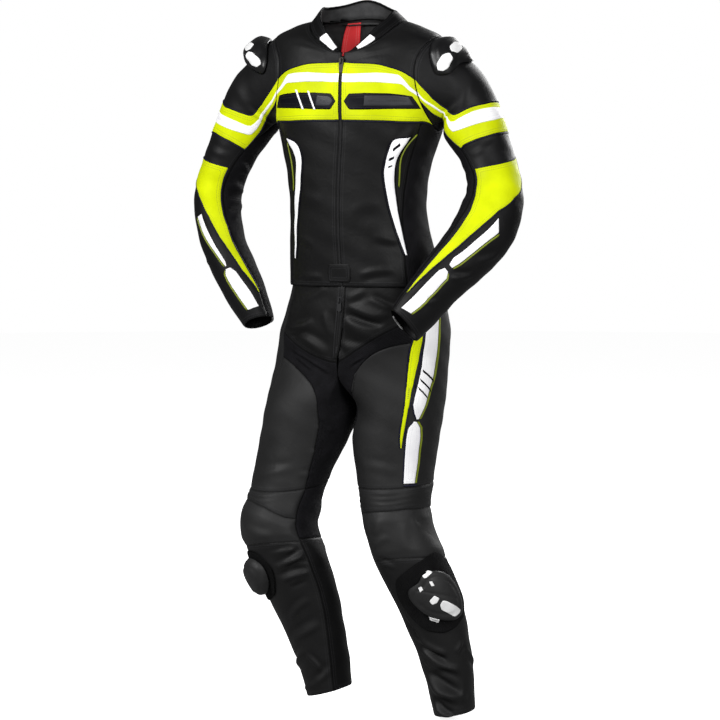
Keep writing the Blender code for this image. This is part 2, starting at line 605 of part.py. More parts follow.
# ---------------------------------------------------------------- trousers
def trouser_pieces():
    for side in SIDE:
        form = "leg_" + side
        hem = YOKE_HEM[side]
        left = edge((SIDE_SEAM_LEG, 0), hem[0], 4)
        right = edge((hem[-1][0], 0), hem[-1], 4)
        top = [(a, 0) for a, _ in edge((SIDE_SEAM_LEG, 0), (hem[-1][0], 0), len(hem) - 1)]
        panel("yoke_" + side, form, coons(top, hem, left, right), "leather", base=-LEATHER)

        inner_thigh = THIGH_TOP[side] + THIGH_INNER[side]
        panel("stretch_" + side, form, strip(list(zip(hem + CROTCH_LINE, inner_thigh)), STRETCH_COLUMNS), "stretch",
              wall=STRETCH, base=-STRETCH)

        down = [THIGH_TOP[side][-1]] + THIGH_INNER[side]
        side_down = edge(THIGH_TOP[side][0], (SIDE_SEAM_LEG, KNEE_TOP), len(down) - 1)
        low = edge((SIDE_SEAM_LEG, KNEE_TOP), down[-1], THIGH_COLUMNS)
        panel("thigh_" + side, form, coons(THIGH_TOP[side], low, side_down, down), "leather", base=-LEATHER)

        outer = left + edge(hem[0], THIGH_TOP[side][0], STRETCH_COLUMNS)[1:-1] + side_down
        below = CROTCH_LINE[5:]
        centre = [(-SPLIT, r) for r in np.linspace(0, CROTCH_LINE[4][1], len(outer) - len(below))]
        centre += [(a - 360, r) for a, r in below]
        panel("seat_" + side, form, strip(list(zip(centre, outer)), SEAT_COLUMNS), "leather", base=-LEATHER)

        lower_leg(side, form, low)


def lower_leg(side, form, thigh_low):
    """Accordion, knee, shin and calf of one leg, with the columns of the pieces above."""
    behind = CROTCH_LINE[-1][0]
    inner = thigh_low[-1][0]
    seat = [a for a, _ in edge((behind - 360, 0), (SIDE_SEAM_LEG, 0), SEAT_COLUMNS)]
    stretch = [a for a, _ in edge((inner, 0), (behind, 0), STRETCH_COLUMNS)]
    front = seat[CALF_SEAM_COLUMN:] + [a for a, _ in thigh_low[1:]]
    rear = stretch + [a + 360 for a in seat[1:CALF_SEAM_COLUMN + 1]]

    def pleat(i, j, columns, rows):
        return PLEAT_DEPTH * min(1, 2 * sin(pi * i / (columns - 1))) if j % 2 else 0

    accordion = list(np.linspace(KNEE_TOP, KNEE_MIDDLE, 2 * PLEATS + 1))
    knee = list(np.linspace(KNEE_MIDDLE, KNEE_HEM[side], 3))
    shin = list(np.linspace(KNEE_HEM[side], HEM_ROW, 6))
    for name, rows, ripple in (("accordion", accordion, pleat), ("knee", knee, None), ("shin", shin, None)):
        net = [[(a, r) for a in front] for r in rows]
        panel(name + "_" + side, form, net, "leather", base=-LEATHER, ripple=ripple)
    net = [[(a, r) for a in rear] for r in accordion[::2] + knee[1:] + shin[1:]]
    panel("calf_" + side, form, net, "leather", base=-LEATHER)


def trouser_trim():
    yoke_hem_end = YOKE_HEM["left"][-1][1]
    for side in SIDE:
        form = "leg_" + side
        turn = STRIPE_TURN[side]
        for name, rows, lifts in (("yellow", THIGH_YELLOW, LIFT), ("white", THIGH_WHITE, LOW_LIFT)):
            turned = [[(a + turn, r) for a, r in pair] for pair in rows]
            sewn_on("thigh_" + name + "_" + side, form, turned, name, lifts)
        a, r, ra, rr, roll = KNEE_BASE[side]
        panel("knee_base_" + side, form, disc_net((a, r), (ra, rr), roll, 5), "plastic", wall=BASE_WALL,
              base=LIFT["leg"])
        a, r, ra, rr, roll = KNEE_PUCK[side]
        panel("knee_puck_" + side, form, disc_net((a, r), (ra, rr), roll, 5), "plastic", wall=PUCK_WALL,
              base=PUCK_FOOT, dome=PUCK_DOME)
    rows = [yoke_hem_end * i / 4 for i in (1, 2, 3, 3.8)]
    panel("fly_zip", "hips", strip([((-FLY_HALF, r), (FLY_HALF, r)) for r in rows], 1), "tape",
          wall=.0011, base=-.0014)


# ---------------------------------------------------------------- zip sliders
def box(centre, size, bevel=0.0):
    bm = bmesh.new()
    bmesh.ops.create_cube(bm, size=1)
    bmesh.ops.scale(bm, verts=bm.verts[:], vec=size)
    bmesh.ops.translate(bm, verts=bm.verts[:], vec=centre)
    if bevel:
        bmesh.ops.bevel(bm, geom=bm.edges[:], offset=bevel, segments=1, affect="EDGES", profile=.5, material=-1)
    return bm


def slider(name, place):
    """A zip slider at place, the middle of its back face, with its bridge."""
    w, d, h = SLIDER
    body = add_object(name, box(Vector((0, -d / 2, 0)), SLIDER, .0008), "metal")
    reach = BRIDGE_REACH + BRIDGE_POST
    out = -d - reach
    tall = h * .62
    pieces = [(Vector((0, -d - reach / 2 + .0002, z)), Vector((BRIDGE_WIDE, reach + .0004, BRIDGE_POST)))
              for z in (tall / 2 - BRIDGE_POST / 2, -tall / 2 + BRIDGE_POST / 2)]
    pieces.append((Vector((0, out + BRIDGE_POST / 2, 0)), Vector((BRIDGE_WIDE, BRIDGE_POST, tall))))
    for number, (centre, size) in enumerate(pieces):
        tool = add_object("tool_%s_%d" % (name, number), box(centre, size), "metal")
        bpy.data.collections[COLLECTION].objects.unlink(tool)
        bpy.data.collections["cutters"].objects.link(tool)
        tool.hide_render = True
        tool.display_type = "WIRE"
        tool.parent = body
        join = body.modifiers.new("bridge_%d" % number, "BOOLEAN")
        join.operation = "UNION"
        join.solver = "EXACT"
        join.object = tool
    body.location = place
    return place + Vector((0, -d - PULL_THICK / 2 - .0006, 0))


def pull(name, hinge, colour):
    """A pull tab that hangs from its crossbar, which is the hinge's axis."""
    curve = bpy.data.curves.new(name, "CURVE")
    curve.dimensions = "2D"
    curve.fill_mode = "BOTH"
    curve.extrude = PULL_THICK / 2
    wide, high = PULL_WINDOW
    bar = .0009
    half, foot = PULL_WIDE / 2, PULL_LONG - bar
    outline = [(-half + .0012, bar), (half - .0012, bar), (half, -.0006), (half, -foot + .003), (half - .0022, -foot),
               (-half + .0022, -foot), (-half, -foot + .003), (-half, -.0006)]
    window = [(-wide / 2, -bar), (wide / 2, -bar), (wide / 2, -bar - high), (-wide / 2, -bar - high)]
    for points in (outline, window):
        line = curve.splines.new("POLY")
        line.points.add(len(points) - 1)
        for point, (x, y) in zip(line.points, points):
            point.co = (x, y, 0, 1)
        line.use_cyclic_u = True
    flat = bpy.data.objects.new(name + "_flat", curve)
    bpy.data.collections["cutters"].objects.link(flat)
    graph = bpy.context.evaluated_depsgraph_get()
    mesh = bpy.data.meshes.new_from_object(flat.evaluated_get(graph))
    bpy.data.objects.remove(flat)
    bm = bmesh.new()
    bm.from_mesh(mesh)
    bpy.data.meshes.remove(mesh)
    bmesh.ops.remove_doubles(bm, verts=bm.verts[:], dist=1e-6)
    bmesh.ops.recalc_face_normals(bm, faces=bm.faces[:])
    bmesh.ops.rotate(bm, verts=bm.verts[:], cent=(0, 0, 0), matrix=Matrix.Rotation(pi / 2, 3, "X"))
    tab = add_object(name, bm, colour)
    tab.location = hinge


def foremost(form, rows):
    """The most forward y of the centre front over some rows."""
    return min(form(row)[1] for row in rows)


def zips():
    top = torso(0, JACKET_SLIDER_ROW)
    y = foremost(lambda row: torso(0, row), (JACKET_SLIDER_ROW - .35, JACKET_SLIDER_ROW)) - .0005
    place = Vector((0, y, top[2]))
    pull("jacket_pull", slider("jacket_slider", place), "metal")
    rows = np.linspace(1, 2.5, 30)
    line = [hips(0, r) for r in rows]
    near = [p for p in line if abs(p[2] - FLY_SLIDER_Z) < SLIDER[2]]
    x = float(np.mean([p[0] for p in near]))
    place = Vector((x, min(p[1] for p in near) - .0007, FLY_SLIDER_Z))
    pull("fly_pull", slider("fly_slider", place), "plastic")


def main():
    for obj in list(bpy.data.objects):
        bpy.data.objects.remove(obj)
    for name in (COLLECTION, "cutters"):
        bpy.context.scene.collection.children.link(bpy.data.collections.new(name))
    tuck = np.array((0, 0, 0, TUCK, TUCK, TUCK, 0, 0, 0))
    HIPS[0] = spline(lambda i: TORSO[i], len(TORSO) - 1, .55) - 1.8 * tuck
    HIPS[1] = TORSO[0] - tuck
    torso_pieces()
    sleeve_pieces()
    jacket_trim()
    trouser_pieces()
    trouser_trim()
    zips()


main()
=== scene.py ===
# %% A two-piece motorcycle race suit
from math import cos, pi, radians, sin
import bmesh
import bpy
import numpy as np
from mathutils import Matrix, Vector


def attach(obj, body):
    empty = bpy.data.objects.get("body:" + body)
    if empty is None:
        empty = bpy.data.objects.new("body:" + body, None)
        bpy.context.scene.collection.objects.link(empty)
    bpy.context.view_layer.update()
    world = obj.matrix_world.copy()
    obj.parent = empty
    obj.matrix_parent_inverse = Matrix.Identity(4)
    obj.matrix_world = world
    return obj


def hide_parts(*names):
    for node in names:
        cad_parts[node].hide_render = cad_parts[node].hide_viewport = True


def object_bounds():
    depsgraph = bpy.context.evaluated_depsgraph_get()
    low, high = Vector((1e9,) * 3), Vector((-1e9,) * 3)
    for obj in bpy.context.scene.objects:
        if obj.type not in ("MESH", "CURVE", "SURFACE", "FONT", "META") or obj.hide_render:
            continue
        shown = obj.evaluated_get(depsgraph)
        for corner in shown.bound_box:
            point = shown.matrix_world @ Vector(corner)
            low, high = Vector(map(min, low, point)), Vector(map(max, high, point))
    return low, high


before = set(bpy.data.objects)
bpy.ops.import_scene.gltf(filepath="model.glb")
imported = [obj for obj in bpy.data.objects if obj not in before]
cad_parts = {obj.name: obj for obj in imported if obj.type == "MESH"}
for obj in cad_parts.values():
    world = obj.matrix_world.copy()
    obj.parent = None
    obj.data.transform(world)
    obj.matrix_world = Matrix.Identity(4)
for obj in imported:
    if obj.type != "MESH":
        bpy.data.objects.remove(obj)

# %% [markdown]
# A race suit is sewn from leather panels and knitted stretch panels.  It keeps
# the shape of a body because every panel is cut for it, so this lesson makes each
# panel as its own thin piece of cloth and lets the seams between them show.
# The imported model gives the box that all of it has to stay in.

cad_box = [list(corner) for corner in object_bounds()]
print("box of the packed model:", cad_box)

# %% [markdown]
# The suit stands on three tube-like forms: a torso, two arms and two legs that
# share the hips.  A form is a stack of sections with a smooth curve through them.
# A place on it has two numbers, as on a globe: an angle round it and a row along
# it.  All later shapes, seams and stripes are drawn with such pairs.

# %% Sections of the body, in metres
def table(text, columns, units=1):
    """Rows of numbers from a text, each column divided by its unit."""
    return np.array(text.split(), float).reshape(-1, columns) / units


def places(text):
    """Angle and row of each place."""
    return table(text, 2)


def edges(text):
    """Angle and row on one edge of a strip, then on the other, from end to end."""
    return table(text, 4).reshape(-1, 2, 2)


LEATHER, STRETCH = .0016, .0014     # thickness of the cloth
TUCK, SQUARENESS, CROTCH_SAG, SPLIT, CROTCH = .0046, 2.3, .056, 130, 4
SIDE = {"right": -1, "left": 1}
# millimetres: front, side and back height; half width; depth in front and behind; centre; then the turn
TORSO = table("""
    -486 -486 -500 157 110 112 11 8 8   -420 -420 -430 148 110 106 4 4 6
    -340 -340 -345 137 112 96 -2 0 3   -262 -258 -260 143.5 116 104 -2.5 0 1
    -190 -180 -185 163.5 120 116 1 0 0   -125 -105 -110 180 120 124 0 0 0
    -75 -40 -40 184 114 118 0 0 0   -48 3 8 170 106 98 0 0 0   -34 24 34 132 102 80 0 0 0
    -32 36 48 96 98 62 0 0 0""", 9, [1000] * 8 + [1])
COLLAR_TOP = np.array((-.021, .063, .082, .074, .090, .048, 0, 0, 0))
# angle, and how much higher the collar's top edge is there, in tenths of a millimetre
COLLAR_CUT = table("""
    -180 0   -60 10   -50 65   -42 120   -35 140   -30 125   -25 90   -20 45   -16 5   -12 -35
    -8 -75   -4 -105   0 -120   4 -105   8 -80   12 -45   16 -15   20 15   25 35   30 60   35 74
    42 60   50 15   60 -30   90 -70   120 -60   150 -15   180 0""", 2, (1, 10000)).T
# millimetres: centre x, y, z; half width; half depth; then tilt of the outer edge and rise of the front
LIMB = [1000] * 5 + [1, 1]
ARM = {"right": table("""
    -219 10 -118 68 66 48 0   -250 12 -171 59 62 16 0   -288.5 14 -240 49.5 60 6 0
    -312 14 -313 47 56 0 0   -302 10 -390 45 54 -11 2   -275 4 -450 45 52 -16 5
    -243 -4 -508 42 48 -20 8   -214 -8 -564 32 40 -22 12""", 7, LIMB),
    "left": table("""
    213 10 -122 60 66 51 0   232 8 -177 60 62 18 0   263 2 -240 52 60 6 2
    284 -20 -303 56 57 -12 14   278 -55 -362 58 54 -28 26   250 -90 -416 52 50 -36 28
    206 -128 -473 43 47 -37 28   170 -158 -525 38 44 -38 30   147 -172 -556 32 41 -40 34""", 7, LIMB)}
LEG = {"right": table("""
    -101 14 -725 96 100 8 0   -122 6 -799 89 92 2 -2   -146 -10 -884 78 86 -2 -6
    -160.5 -30 -966 76.5 82 -5 2   -139 -22 -1052 79 76 -11 12   -118 2 -1129 72 68 -13 14
    -102.5 26 -1204 61 60 -14 14   -91.5 44 -1266 53 55 -15 8   -85.5 56 -1322 46 50 -15 -2""", 7, LIMB),
    "left": table("""
    83 14 -722 87 98 8 0   74 8 -789 87 92 4 -2   76 0 -877 74 84 3 -2   82 -10 -955 64.5 80 4 2
    108.5 -4 -1035 71.5 75 8 8   140 12 -1115 68 67 8 10   164.5 26 -1201 57 58 9 8
    177.5 36 -1268 49 53 10 8   186.5 44 -1344 41 48 8 -2""", 7, LIMB)}


# %% Curves through the sections
def through(knots, at):
    """A smooth curve through a row of knots, read at each place in at."""
    knots, at = np.asarray(knots, float), np.asarray(at, float)
    last = len(knots) - 1
    i = np.clip(np.floor(at).astype(int), 0, last - 1)
    f = (at - i)[..., None]
    own = (np.arange(at.size),) if knots.ndim == 3 else ()
    p0, p1, p2, p3 = (knots[(np.clip(i + k, 0, last),) + own] for k in (-1, 0, 1, 2))
    return .5 * (2 * p1 + (p2 - p0) * f + (2 * p0 - 5 * p1 + 4 * p2 - p3) * f ** 2
                 + (3 * p1 - p0 - 3 * p2 + p3) * f ** 3)


def smooth(x):
    x = np.clip(x, 0, 1)
    return x * x * (3 - 2 * x)


def section(sizes, angle):
    """Points of a body section; angle 0 is the front, 90 the wearer's left."""
    z_front, z_side, z_back, wide, front, back, x0, y0, turn = np.moveaxis(np.asarray(sizes), -1, 0)
    c, s = np.cos(np.radians(angle)), np.sin(np.radians(angle))
    depth = np.where(c > 0, front, back)
    reach = (np.abs(c / depth) ** SQUARENESS + np.abs(s / wide) ** SQUARENESS) ** (-1 / SQUARENESS)
    x, y, k = reach * s, -reach * c, np.radians(turn)
    z = z_side + (np.where(c > 0, z_front, z_back) - z_side) * c * c
    z = z - .028 * x * smooth((z + .30) / .22)      # the right shoulder stands a little higher
    return np.stack((x0 + x * np.cos(k) + y * np.sin(k), y0 - x * np.sin(k) + y * np.cos(k), z), -1)


tuck = np.array((0, 0, 0, TUCK, TUCK, TUCK, 0, 0, 0))
HIPS = np.vstack([through(TORSO, np.array([.55]))[0] - 1.8 * tuck, TORSO[0] - tuck,
                  (-.540, -.535, -.545, .166, .110, .124, .009, .012, 8),
                  (-.600, -.580, -.590, .177, .108, .134, .002, .016, 8),
                  (-.662, -.634, -.646, .181, .100, .136, -.006, .020, 8)])
ROUND = HIPS[-1][8]     # degrees that the hips are turned
HOLE_MIDDLE, HOLE_HALF, HOLE_DEPTH = 5.55, 1.55, 31     # rows, rows and degrees


def ring(side, sizes, angle, turn=0):
    """Points of a limb section; angle 0 is outer, 90 front, 180 inner."""
    x, y, z, wide, deep, tilt, rise = sizes
    k, w, t, p = radians(tilt), radians(rise), radians(turn), np.radians(angle)[..., None]
    out = wide * np.cos(p) * np.array((SIDE[side] * cos(k), 0, sin(k)))
    v = np.moveaxis(out + deep * np.sin(p) * np.array((0, -cos(w), sin(w))), -1, 0)
    return np.stack((x + v[0] * cos(t) + v[1] * sin(t), y - v[0] * sin(t) + v[1] * cos(t), z + v[2]), -1)


def armhole(side, angle):
    """Torso angle and row at an angle round the armhole, 0 at the shoulder tip."""
    p = np.radians(angle)
    return SIDE[side] * (90 - HOLE_DEPTH * np.sin(p)), HOLE_MIDDLE + HOLE_HALF * np.cos(p)


def arm(side, angle, row):
    hole_angle, hole_row = armhole(side, angle)
    start = section(through(TORSO, hole_row), hole_angle)
    return through(np.array([start] + [ring(side, sizes, angle) for sizes in ARM[side]]), row)


def leg(side, angle, row):
    """Hips above the crotch row, then the leg; past SPLIT is the inner thigh."""
    angle = (angle + 180) % 360 - 180
    past, outer = np.abs(angle) - SPLIT, SIDE[side] * (90 - angle * 90 / SPLIT)
    other = "left" if side == "right" else "right"
    across = ring(other, LEG[other][0], angle, ROUND)
    inside, front = (past > 0)[..., None], (angle > 0)[..., None]
    fore, aft = ([section(sizes, 0 * angle + way) for sizes in HIPS] for way in (0, 180))
    knots = []
    for i in range(CROTCH):
        mid = np.where(front, fore[i], aft[i])
        within = mid + (across - mid) * smooth(past / 20)[..., None]
        knots.append(np.where(inside, within, section(HIPS[i], outer)))
    share = past / (180 - SPLIT) / 2
    share = np.where(angle > 0, share, 1 - share)[..., None]
    under = fore[CROTCH] * (1 - share) + aft[CROTCH] * share
    under[..., 2:] -= CROTCH_SAG * 4 * share * (1 - share)
    knots.append(np.where(inside, under, section(HIPS[CROTCH], outer)))
    own = [ring(side, sizes, angle, ROUND) for sizes in LEG[side]]
    mixed = own[0] + (across - own[0]) * (.5 * smooth(1 + past / 30))[..., None]
    first = np.where((row < CROTCH)[..., None], mixed, own[0])
    return through(np.array(knots + [first] + own[1:]), row)


def form(kind, angle, row):
    """The bare form of a part of the suit, at angles and rows of any shape."""
    angle, row = np.broadcast_arrays(np.asarray(angle, float), np.asarray(row, float))
    a, r = angle.ravel(), row.ravel()
    if kind == "torso":
        found = section(through(TORSO, r), a)
    elif kind == "collar":
        found = section(TORSO[-1] + (COLLAR_TOP - TORSO[-1]) * r[:, None], a)
        found[:, 2] += np.interp((a + 180) % 360 - 180, *COLLAR_CUT) * np.clip(r, 0, 1)
    elif kind == "hips":
        found = section(through(HIPS, r), a)
    else:
        limb, side = kind.split("_")
        found = {"arm": arm, "leg": leg}[limb](side, a, r)
    return found.reshape(angle.shape + (3,))


print("left cuff, outer edge:", form("arm_left", 0, 9.0).round(3))

# %% [markdown]
# Leather doesn't lie as smooth as a form.  It creases where a body bends or where
# one half pulls on the other: behind the knee, in the elbow, under the fly, above
# the hem.  Each crease is listed as a soft ridge with a trough beside it,
# from one place to another, with its own width and height.  A little slow
# unevenness over everything keeps the large panels from looking like sheet metal.

# %% Creases: from angle, row to angle, row, then width and height
def folds(text):
    """Rows in hundredths, widths in millimetres, heights in tenths of one and below 0 for a trough."""
    return table(text, 6, (1, 100, 1, 100, 1000, 10000))


CREASES = {"torso": folds("""
    -52 50 -20 30 18 22   20 36 50 62 18 24   -50 135 -28 118 18 14   36 150 58 125 18 18
    14 190 40 230 30 12   -40 260 -16 220 30 10   128 150 172 115 30 40   190 110 232 160 30 40
    120 220 160 195 22 28   196 210 240 250 24 30   150 55 205 70 20 26   62 410 44 330 20 16
    -62 410 -44 340 20 14   112 520 140 460 22 26   246 510 222 450 22 26   24 740 50 670 30 6
    -22 750 -48 680 30 6"""),
    "arm_right": folds("""
    140 350 200 390 18 36   146 450 210 420 18 32   136 300 190 325 14 24   146 405 200 410 14 26
    100 125 160 95 16 20   44 262 112 280 14 14   -60 390 -120 430 18 22   48 690 84 650 12 16
    -150 560 -90 590 16 20   40 95 96 125 22 14   20 560 62 590 16 14"""),
    "arm_left": folds("""
    136 370 200 410 30 9   140 480 206 450 30 10   134 310 190 330 30 6   136 430 196 435 30 6
    98 130 160 95 16 20   30 260 108 285 14 14   -60 410 -120 450 18 22   20 640 50 690 14 24
    6 560 40 610 16 20   -150 620 -90 650 16 20   30 95 92 130 22 14   34 750 56 790 12 14"""),
    "leg_right": folds("""
    60 295 108 342 30 40   44 280 84 222 24 36   46 302 82 272 18 -30   64 150 104 110 26 22
    100 195 122 275 22 26   50 360 118 402 12 -32   56 380 84 402 10 -26   128 545 154 562 11 22
    130 615 152 634 11 22   126 662 146 670 10 16   60 675 118 655 18 16   108 906 142 882 13 50
    104 926 142 902 12 -34   84 950 138 940 14 50   90 914 112 910 12 26   96 972 130 962 12 -26
    92 886 132 870 12 20   50 800 110 825 22 14   72 1055 124 1015 16 26   56 1120 128 1072 22 36
    84 1162 106 1230 16 30   16 1200 84 1155 20 36   88 1255 132 1215 18 32
    30 1272 92 1250 16 26   -100 760 -160 790 30 44   -150 860 -95 830 30 40
    -90 800 -150 820 18 30   -60 440 -122 410 30 34   -70 920 -150 960 26 28
    -140 1190 -70 1230 22 34   -60 1060 -130 1020 20 26   -20 520 -90 560 34 18"""),
    "leg_left": folds("""
    122 172 62 206 30 40   122 196 68 238 18 -40   128 230 66 278 34 40   84 134 54 166 16 -34
    129 295 112 350 14 -34   124 272 96 306 20 -22   124 142 92 122 22 22   84 350 106 384 9 -20
    140 550 154 570 11 14   60 670 120 652 18 14   58 795 62 875 34 20   96 785 92 830 34 16
    78 830 116 862 18 20   20 810 36 792 20 14   92 922 128 898 13 24   126 1035 98 1100 16 26
    122 1080 58 1130 20 46   116 1106 60 1152 16 -46   40 1136 22 1095 16 30
    104 1146 34 1186 18 30   128 1190 36 1234 24 -78   118 1222 20 1260 20 44
    122 1252 60 1284 18 -60   100 1162 30 1205 20 30   122 1155 76 1186 13 22
    20 1130 -30 1170 20 26   -100 770 -160 800 30 44   -150 870 -95 840 30 40
    -92 810 -150 830 18 30   -60 440 -122 410 30 34   -70 930 -150 970 26 28
    -140 1180 -70 1220 22 34   -60 1070 -130 1030 20 26""")}
# metres across for a degree, and along for a row
SPREAD = {"torso": (.0023, .075), "arm": (.00095, .070), "leg": (.0014, .078)}


def creases(kind, angle, row):
    """How far the creases lift the leather off its form."""
    total = np.zeros(angle.shape)
    if kind not in CREASES:
        return total
    across, along = SPREAD[kind.split("_")[0]]
    for a0, r0, a1, r1, width, height in CREASES[kind]:
        middle = (a0 + a1) / 2
        a = middle + (angle - middle + 180) % 360 - 180
        x, y = (a - a0) * across, (row - r0) * along
        run_x, run_y = (a1 - a0) * across, (r1 - r0) * along
        length = np.hypot(run_x, run_y)
        t = (x * run_x + y * run_y) / length ** 2
        off = (x * run_y - y * run_x) / length / (width / 2) + .5 * np.sin(2.6 * t + a0)
        taper = np.clip(1 - np.abs(2 * t - 1) ** 3, 0, 1)
        ridge, trough = np.exp(-1.9 * off ** 2), np.exp(-1.9 * (off - 1.5) ** 2)
        total += 1.25 * height * taper * (ridge - .7 * trough)
    return total


def unevenness(points):
    """Slow waves of half a millimetre."""
    x, y, z = np.moveaxis(points, -1, 0)
    waves = np.sin(63 * x + 29 * z + 1.1) * np.sin(71 * z - 34 * y)
    return .0005 * (waves + .6 * np.sin(131 * z + 57 * x + 88 * y))


def skin(kind, angle, row, lift=0.0):
    """Points lifted off a form along its outward normal, and the normals."""
    angle, row = np.broadcast_arrays(np.asarray(angle, float), np.asarray(row, float))
    here = form(kind, angle, row)
    ahead, back, up, down = angle + .5, angle - .5, row + .01, np.maximum(row - .01, 0)
    if kind.startswith("leg"):
        turned = (angle + 180) % 360 - 180
        near = (np.abs(turned) <= SPLIT + .01) & (row < CROTCH)
        ahead = np.where(near, np.minimum(turned + .5, SPLIT), ahead)
        back = np.where(near, np.maximum(turned - .5, -SPLIT), back)
        up = np.where((row < CROTCH) & (up > CROTCH), CROTCH, up)
        down = np.where((row >= CROTCH) & (down < CROTCH), CROTCH, down)
    around = form(kind, ahead, row) - form(kind, back, row)
    normal = np.cross(around, form(kind, angle, up) - form(kind, angle, down))
    sign = -1 if kind == "hips" else SIDE.get(kind.split("_")[-1], 1)
    normal *= sign / np.maximum(np.linalg.norm(normal, axis=-1, keepdims=True), 1e-12)
    lift = lift + creases(kind, angle, row) + unevenness(here)
    return here + normal * lift[..., None], normal


print("a place on the chest:", skin("torso", 20, 5.0)[0].round(3))

# %% [markdown]
# A panel of cloth is a flat grid that is bent onto its form.  The grid comes from
# one operator; only its points are moved.  Close to a seam the leather is pulled
# down by the stitches, so the grid gets extra lines there and its border sinks by
# a millimetre: two such borders side by side read as a seam.  The distance to the
# seam is kept on every point, so that a material can draw the stitches later.

# %% Laying a panel
made = {}
RIM = (.0007, .0018, .0034)     # distances of the extra lines from a seam
PUCKERS = .012                  # a pucker's length along a seam
# a cut is over a centimetre wide; its area's shares of the rectangle round it
NARROWEST, FULLEST, SLIMMEST, LEAST = .011, .98, .45, .31


def walked(points, axis=0):
    """How far it is along a net of points, from its first ones to each of the others."""
    steps = np.linalg.norm(np.diff(points, axis=axis), axis=-1)
    start = np.zeros_like(np.take(points[..., 0], [0], axis))
    return np.concatenate([start, np.cumsum(steps, axis)], axis)


def marks(total, cell):
    """Places along a length in metres, about a cell apart and closer at both ends."""
    rim = [r for r in RIM if r < total * .22]
    first = rim[-1] if rim else 0
    count = max(2, int(np.ceil((total - 2 * first) / cell)))
    inner = np.linspace(first, total - first, count + 1)
    return np.concatenate([[0], rim, inner[1:-1], total - np.array(rim[::-1]), [total]]) if rim else inner


def even(kind, place, axis, cell):
    """Parameters from 0 to 1 along one side of a piece, evenly spaced in metres."""
    u, w = np.meshgrid(np.linspace(0, 1, 61), np.linspace(.06, .94, 7), indexing="ij")
    points = form(kind, *(place(u, w) if axis == 0 else place(w, u)))
    steps = np.linalg.norm(np.diff(points, axis=0), axis=-1).mean(1)
    travelled = np.concatenate([[0], np.cumsum(steps)])
    return np.interp(marks(travelled[-1], cell), travelled, u[:, 0])


def to_border(points):
    """How far grid points are from the nearest side, along it, and both ways along the grid."""
    down, across = walked(points, 0), walked(points, 1)
    ends = [across, across[:, -1:] - across, down, down[-1:] - down]
    return np.min(ends, 0), np.where(np.argmin(ends, 0) < 2, down, across), across, down


def into_mesh(bm, mesh):
    bm.to_mesh(mesh)
    bm.free()
    return mesh


def put(name, data):
    """A new object in the scene."""
    obj = bpy.data.objects.new(name, data)
    bpy.context.scene.collection.objects.link(obj)
    return obj


def read_points(mesh, what):
    flat = np.empty(len(mesh.vertices) * 3)
    mesh.vertices.foreach_get(what, flat)
    return flat.reshape(-1, 3)


def grid_object(name, points, normals):
    """A grid of faces moved onto a net of points, turned to face outwards."""
    rows, columns = points.shape[:2]
    bm = bmesh.new()
    bmesh.ops.create_grid(bm, x_segments=columns - 1, y_segments=rows - 1, size=.5)
    mesh = into_mesh(bm, bpy.data.meshes.new(name))
    flat = read_points(mesh, "co")
    i = np.rint((flat[:, 0] + .5) * (columns - 1)).astype(int)
    j = np.rint((flat[:, 1] + .5) * (rows - 1)).astype(int)
    mesh.vertices.foreach_set("co", points[j, i].ravel())
    mesh.update()
    if (read_points(mesh, "normal") * normals[j, i]).sum() < 0:
        mesh.flip_normals()
    mesh.polygons.foreach_set("use_smooth", np.ones(len(mesh.polygons), bool))
    return put(name, mesh), j, i


def settle(obj, material):
    """Gives a piece its material and the body that it moves with."""
    obj.data.materials.append(material)
    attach(obj, "suit")
    made[obj.name] = obj


def lay(name, kind, place, material, wall=LEATHER, lift=0.0, cell=.0045, sink=.0011, soft=.0038,
        pucker=.00025, relief=None, cloth=True):
    """Lays a piece over a form; place gives (angle, row) for two numbers from 0 to 1."""
    angle, row = place(*np.meshgrid(even(kind, place, 0, cell), even(kind, place, 1, cell)))
    border, run, across, down = to_border(form(kind, angle, row))
    waves = pucker * np.sin(run * 2 * pi / PUCKERS) * np.exp(-border / .005)
    height = lift - sink * (1 - smooth(border / soft)) + waves
    if relief is not None:
        height = height + relief(angle, row, border)
    points, normals = skin(kind, angle, row, height)
    obj, j, i = grid_object(name, points, normals)
    mesh = obj.data
    for label, values in (("border", border), ("run", run)):
        layer = mesh.attributes.new(label, "FLOAT", "POINT")
        layer.data.foreach_set("value", values[j, i].astype(np.float32))
    corner = np.empty(len(mesh.loops), int)
    mesh.loops.foreach_get("vertex_index", corner)
    uv = np.stack((across[j, i], down[j, i]), -1)[corner]
    mesh.uv_layers.new(name="cut").data.foreach_set("uv", uv.ravel().astype(np.float32))
    shell = obj.modifiers.new("wall", "SOLIDIFY")
    shell.thickness, shell.offset = wall, -1
    settle(obj, material)
    node = name.rsplit("_", 1)[0].removesuffix("_0")
    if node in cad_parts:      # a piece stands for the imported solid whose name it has
        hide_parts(node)
    if cloth:
        a, b = points[1:, 1:] - points[:-1, :-1], points[1:, :-1] - points[:-1, 1:]
        area = np.linalg.norm(np.cross(a, b), axis=-1).sum() / 2
        l = max(float(down[-1].max()), NARROWEST)
        w = max(float(across[:, -1].max()), area / l / FULLEST, NARROWEST)
        w = min(w, max(area / l / SLIMMEST, NARROWEST))


def between(pairs, curved=False):
    """A piece given by pairs of edge points, one pair after another."""
    pairs = np.array(pairs, float)
    steps = np.arange(len(pairs))

    def edge(at, k):
        if curved:
            return through(pairs[:, k], at)
        return np.stack([np.interp(at, steps, pairs[:, k, c]) for c in (0, 1)], -1)

    def place(s, t):
        at = np.asarray(t) * steps[-1]
        a, b = edge(at, 0), edge(at, 1)
        return tuple(np.moveaxis(a + (b - a) * np.asarray(s)[..., None], -1, 0))
    return place
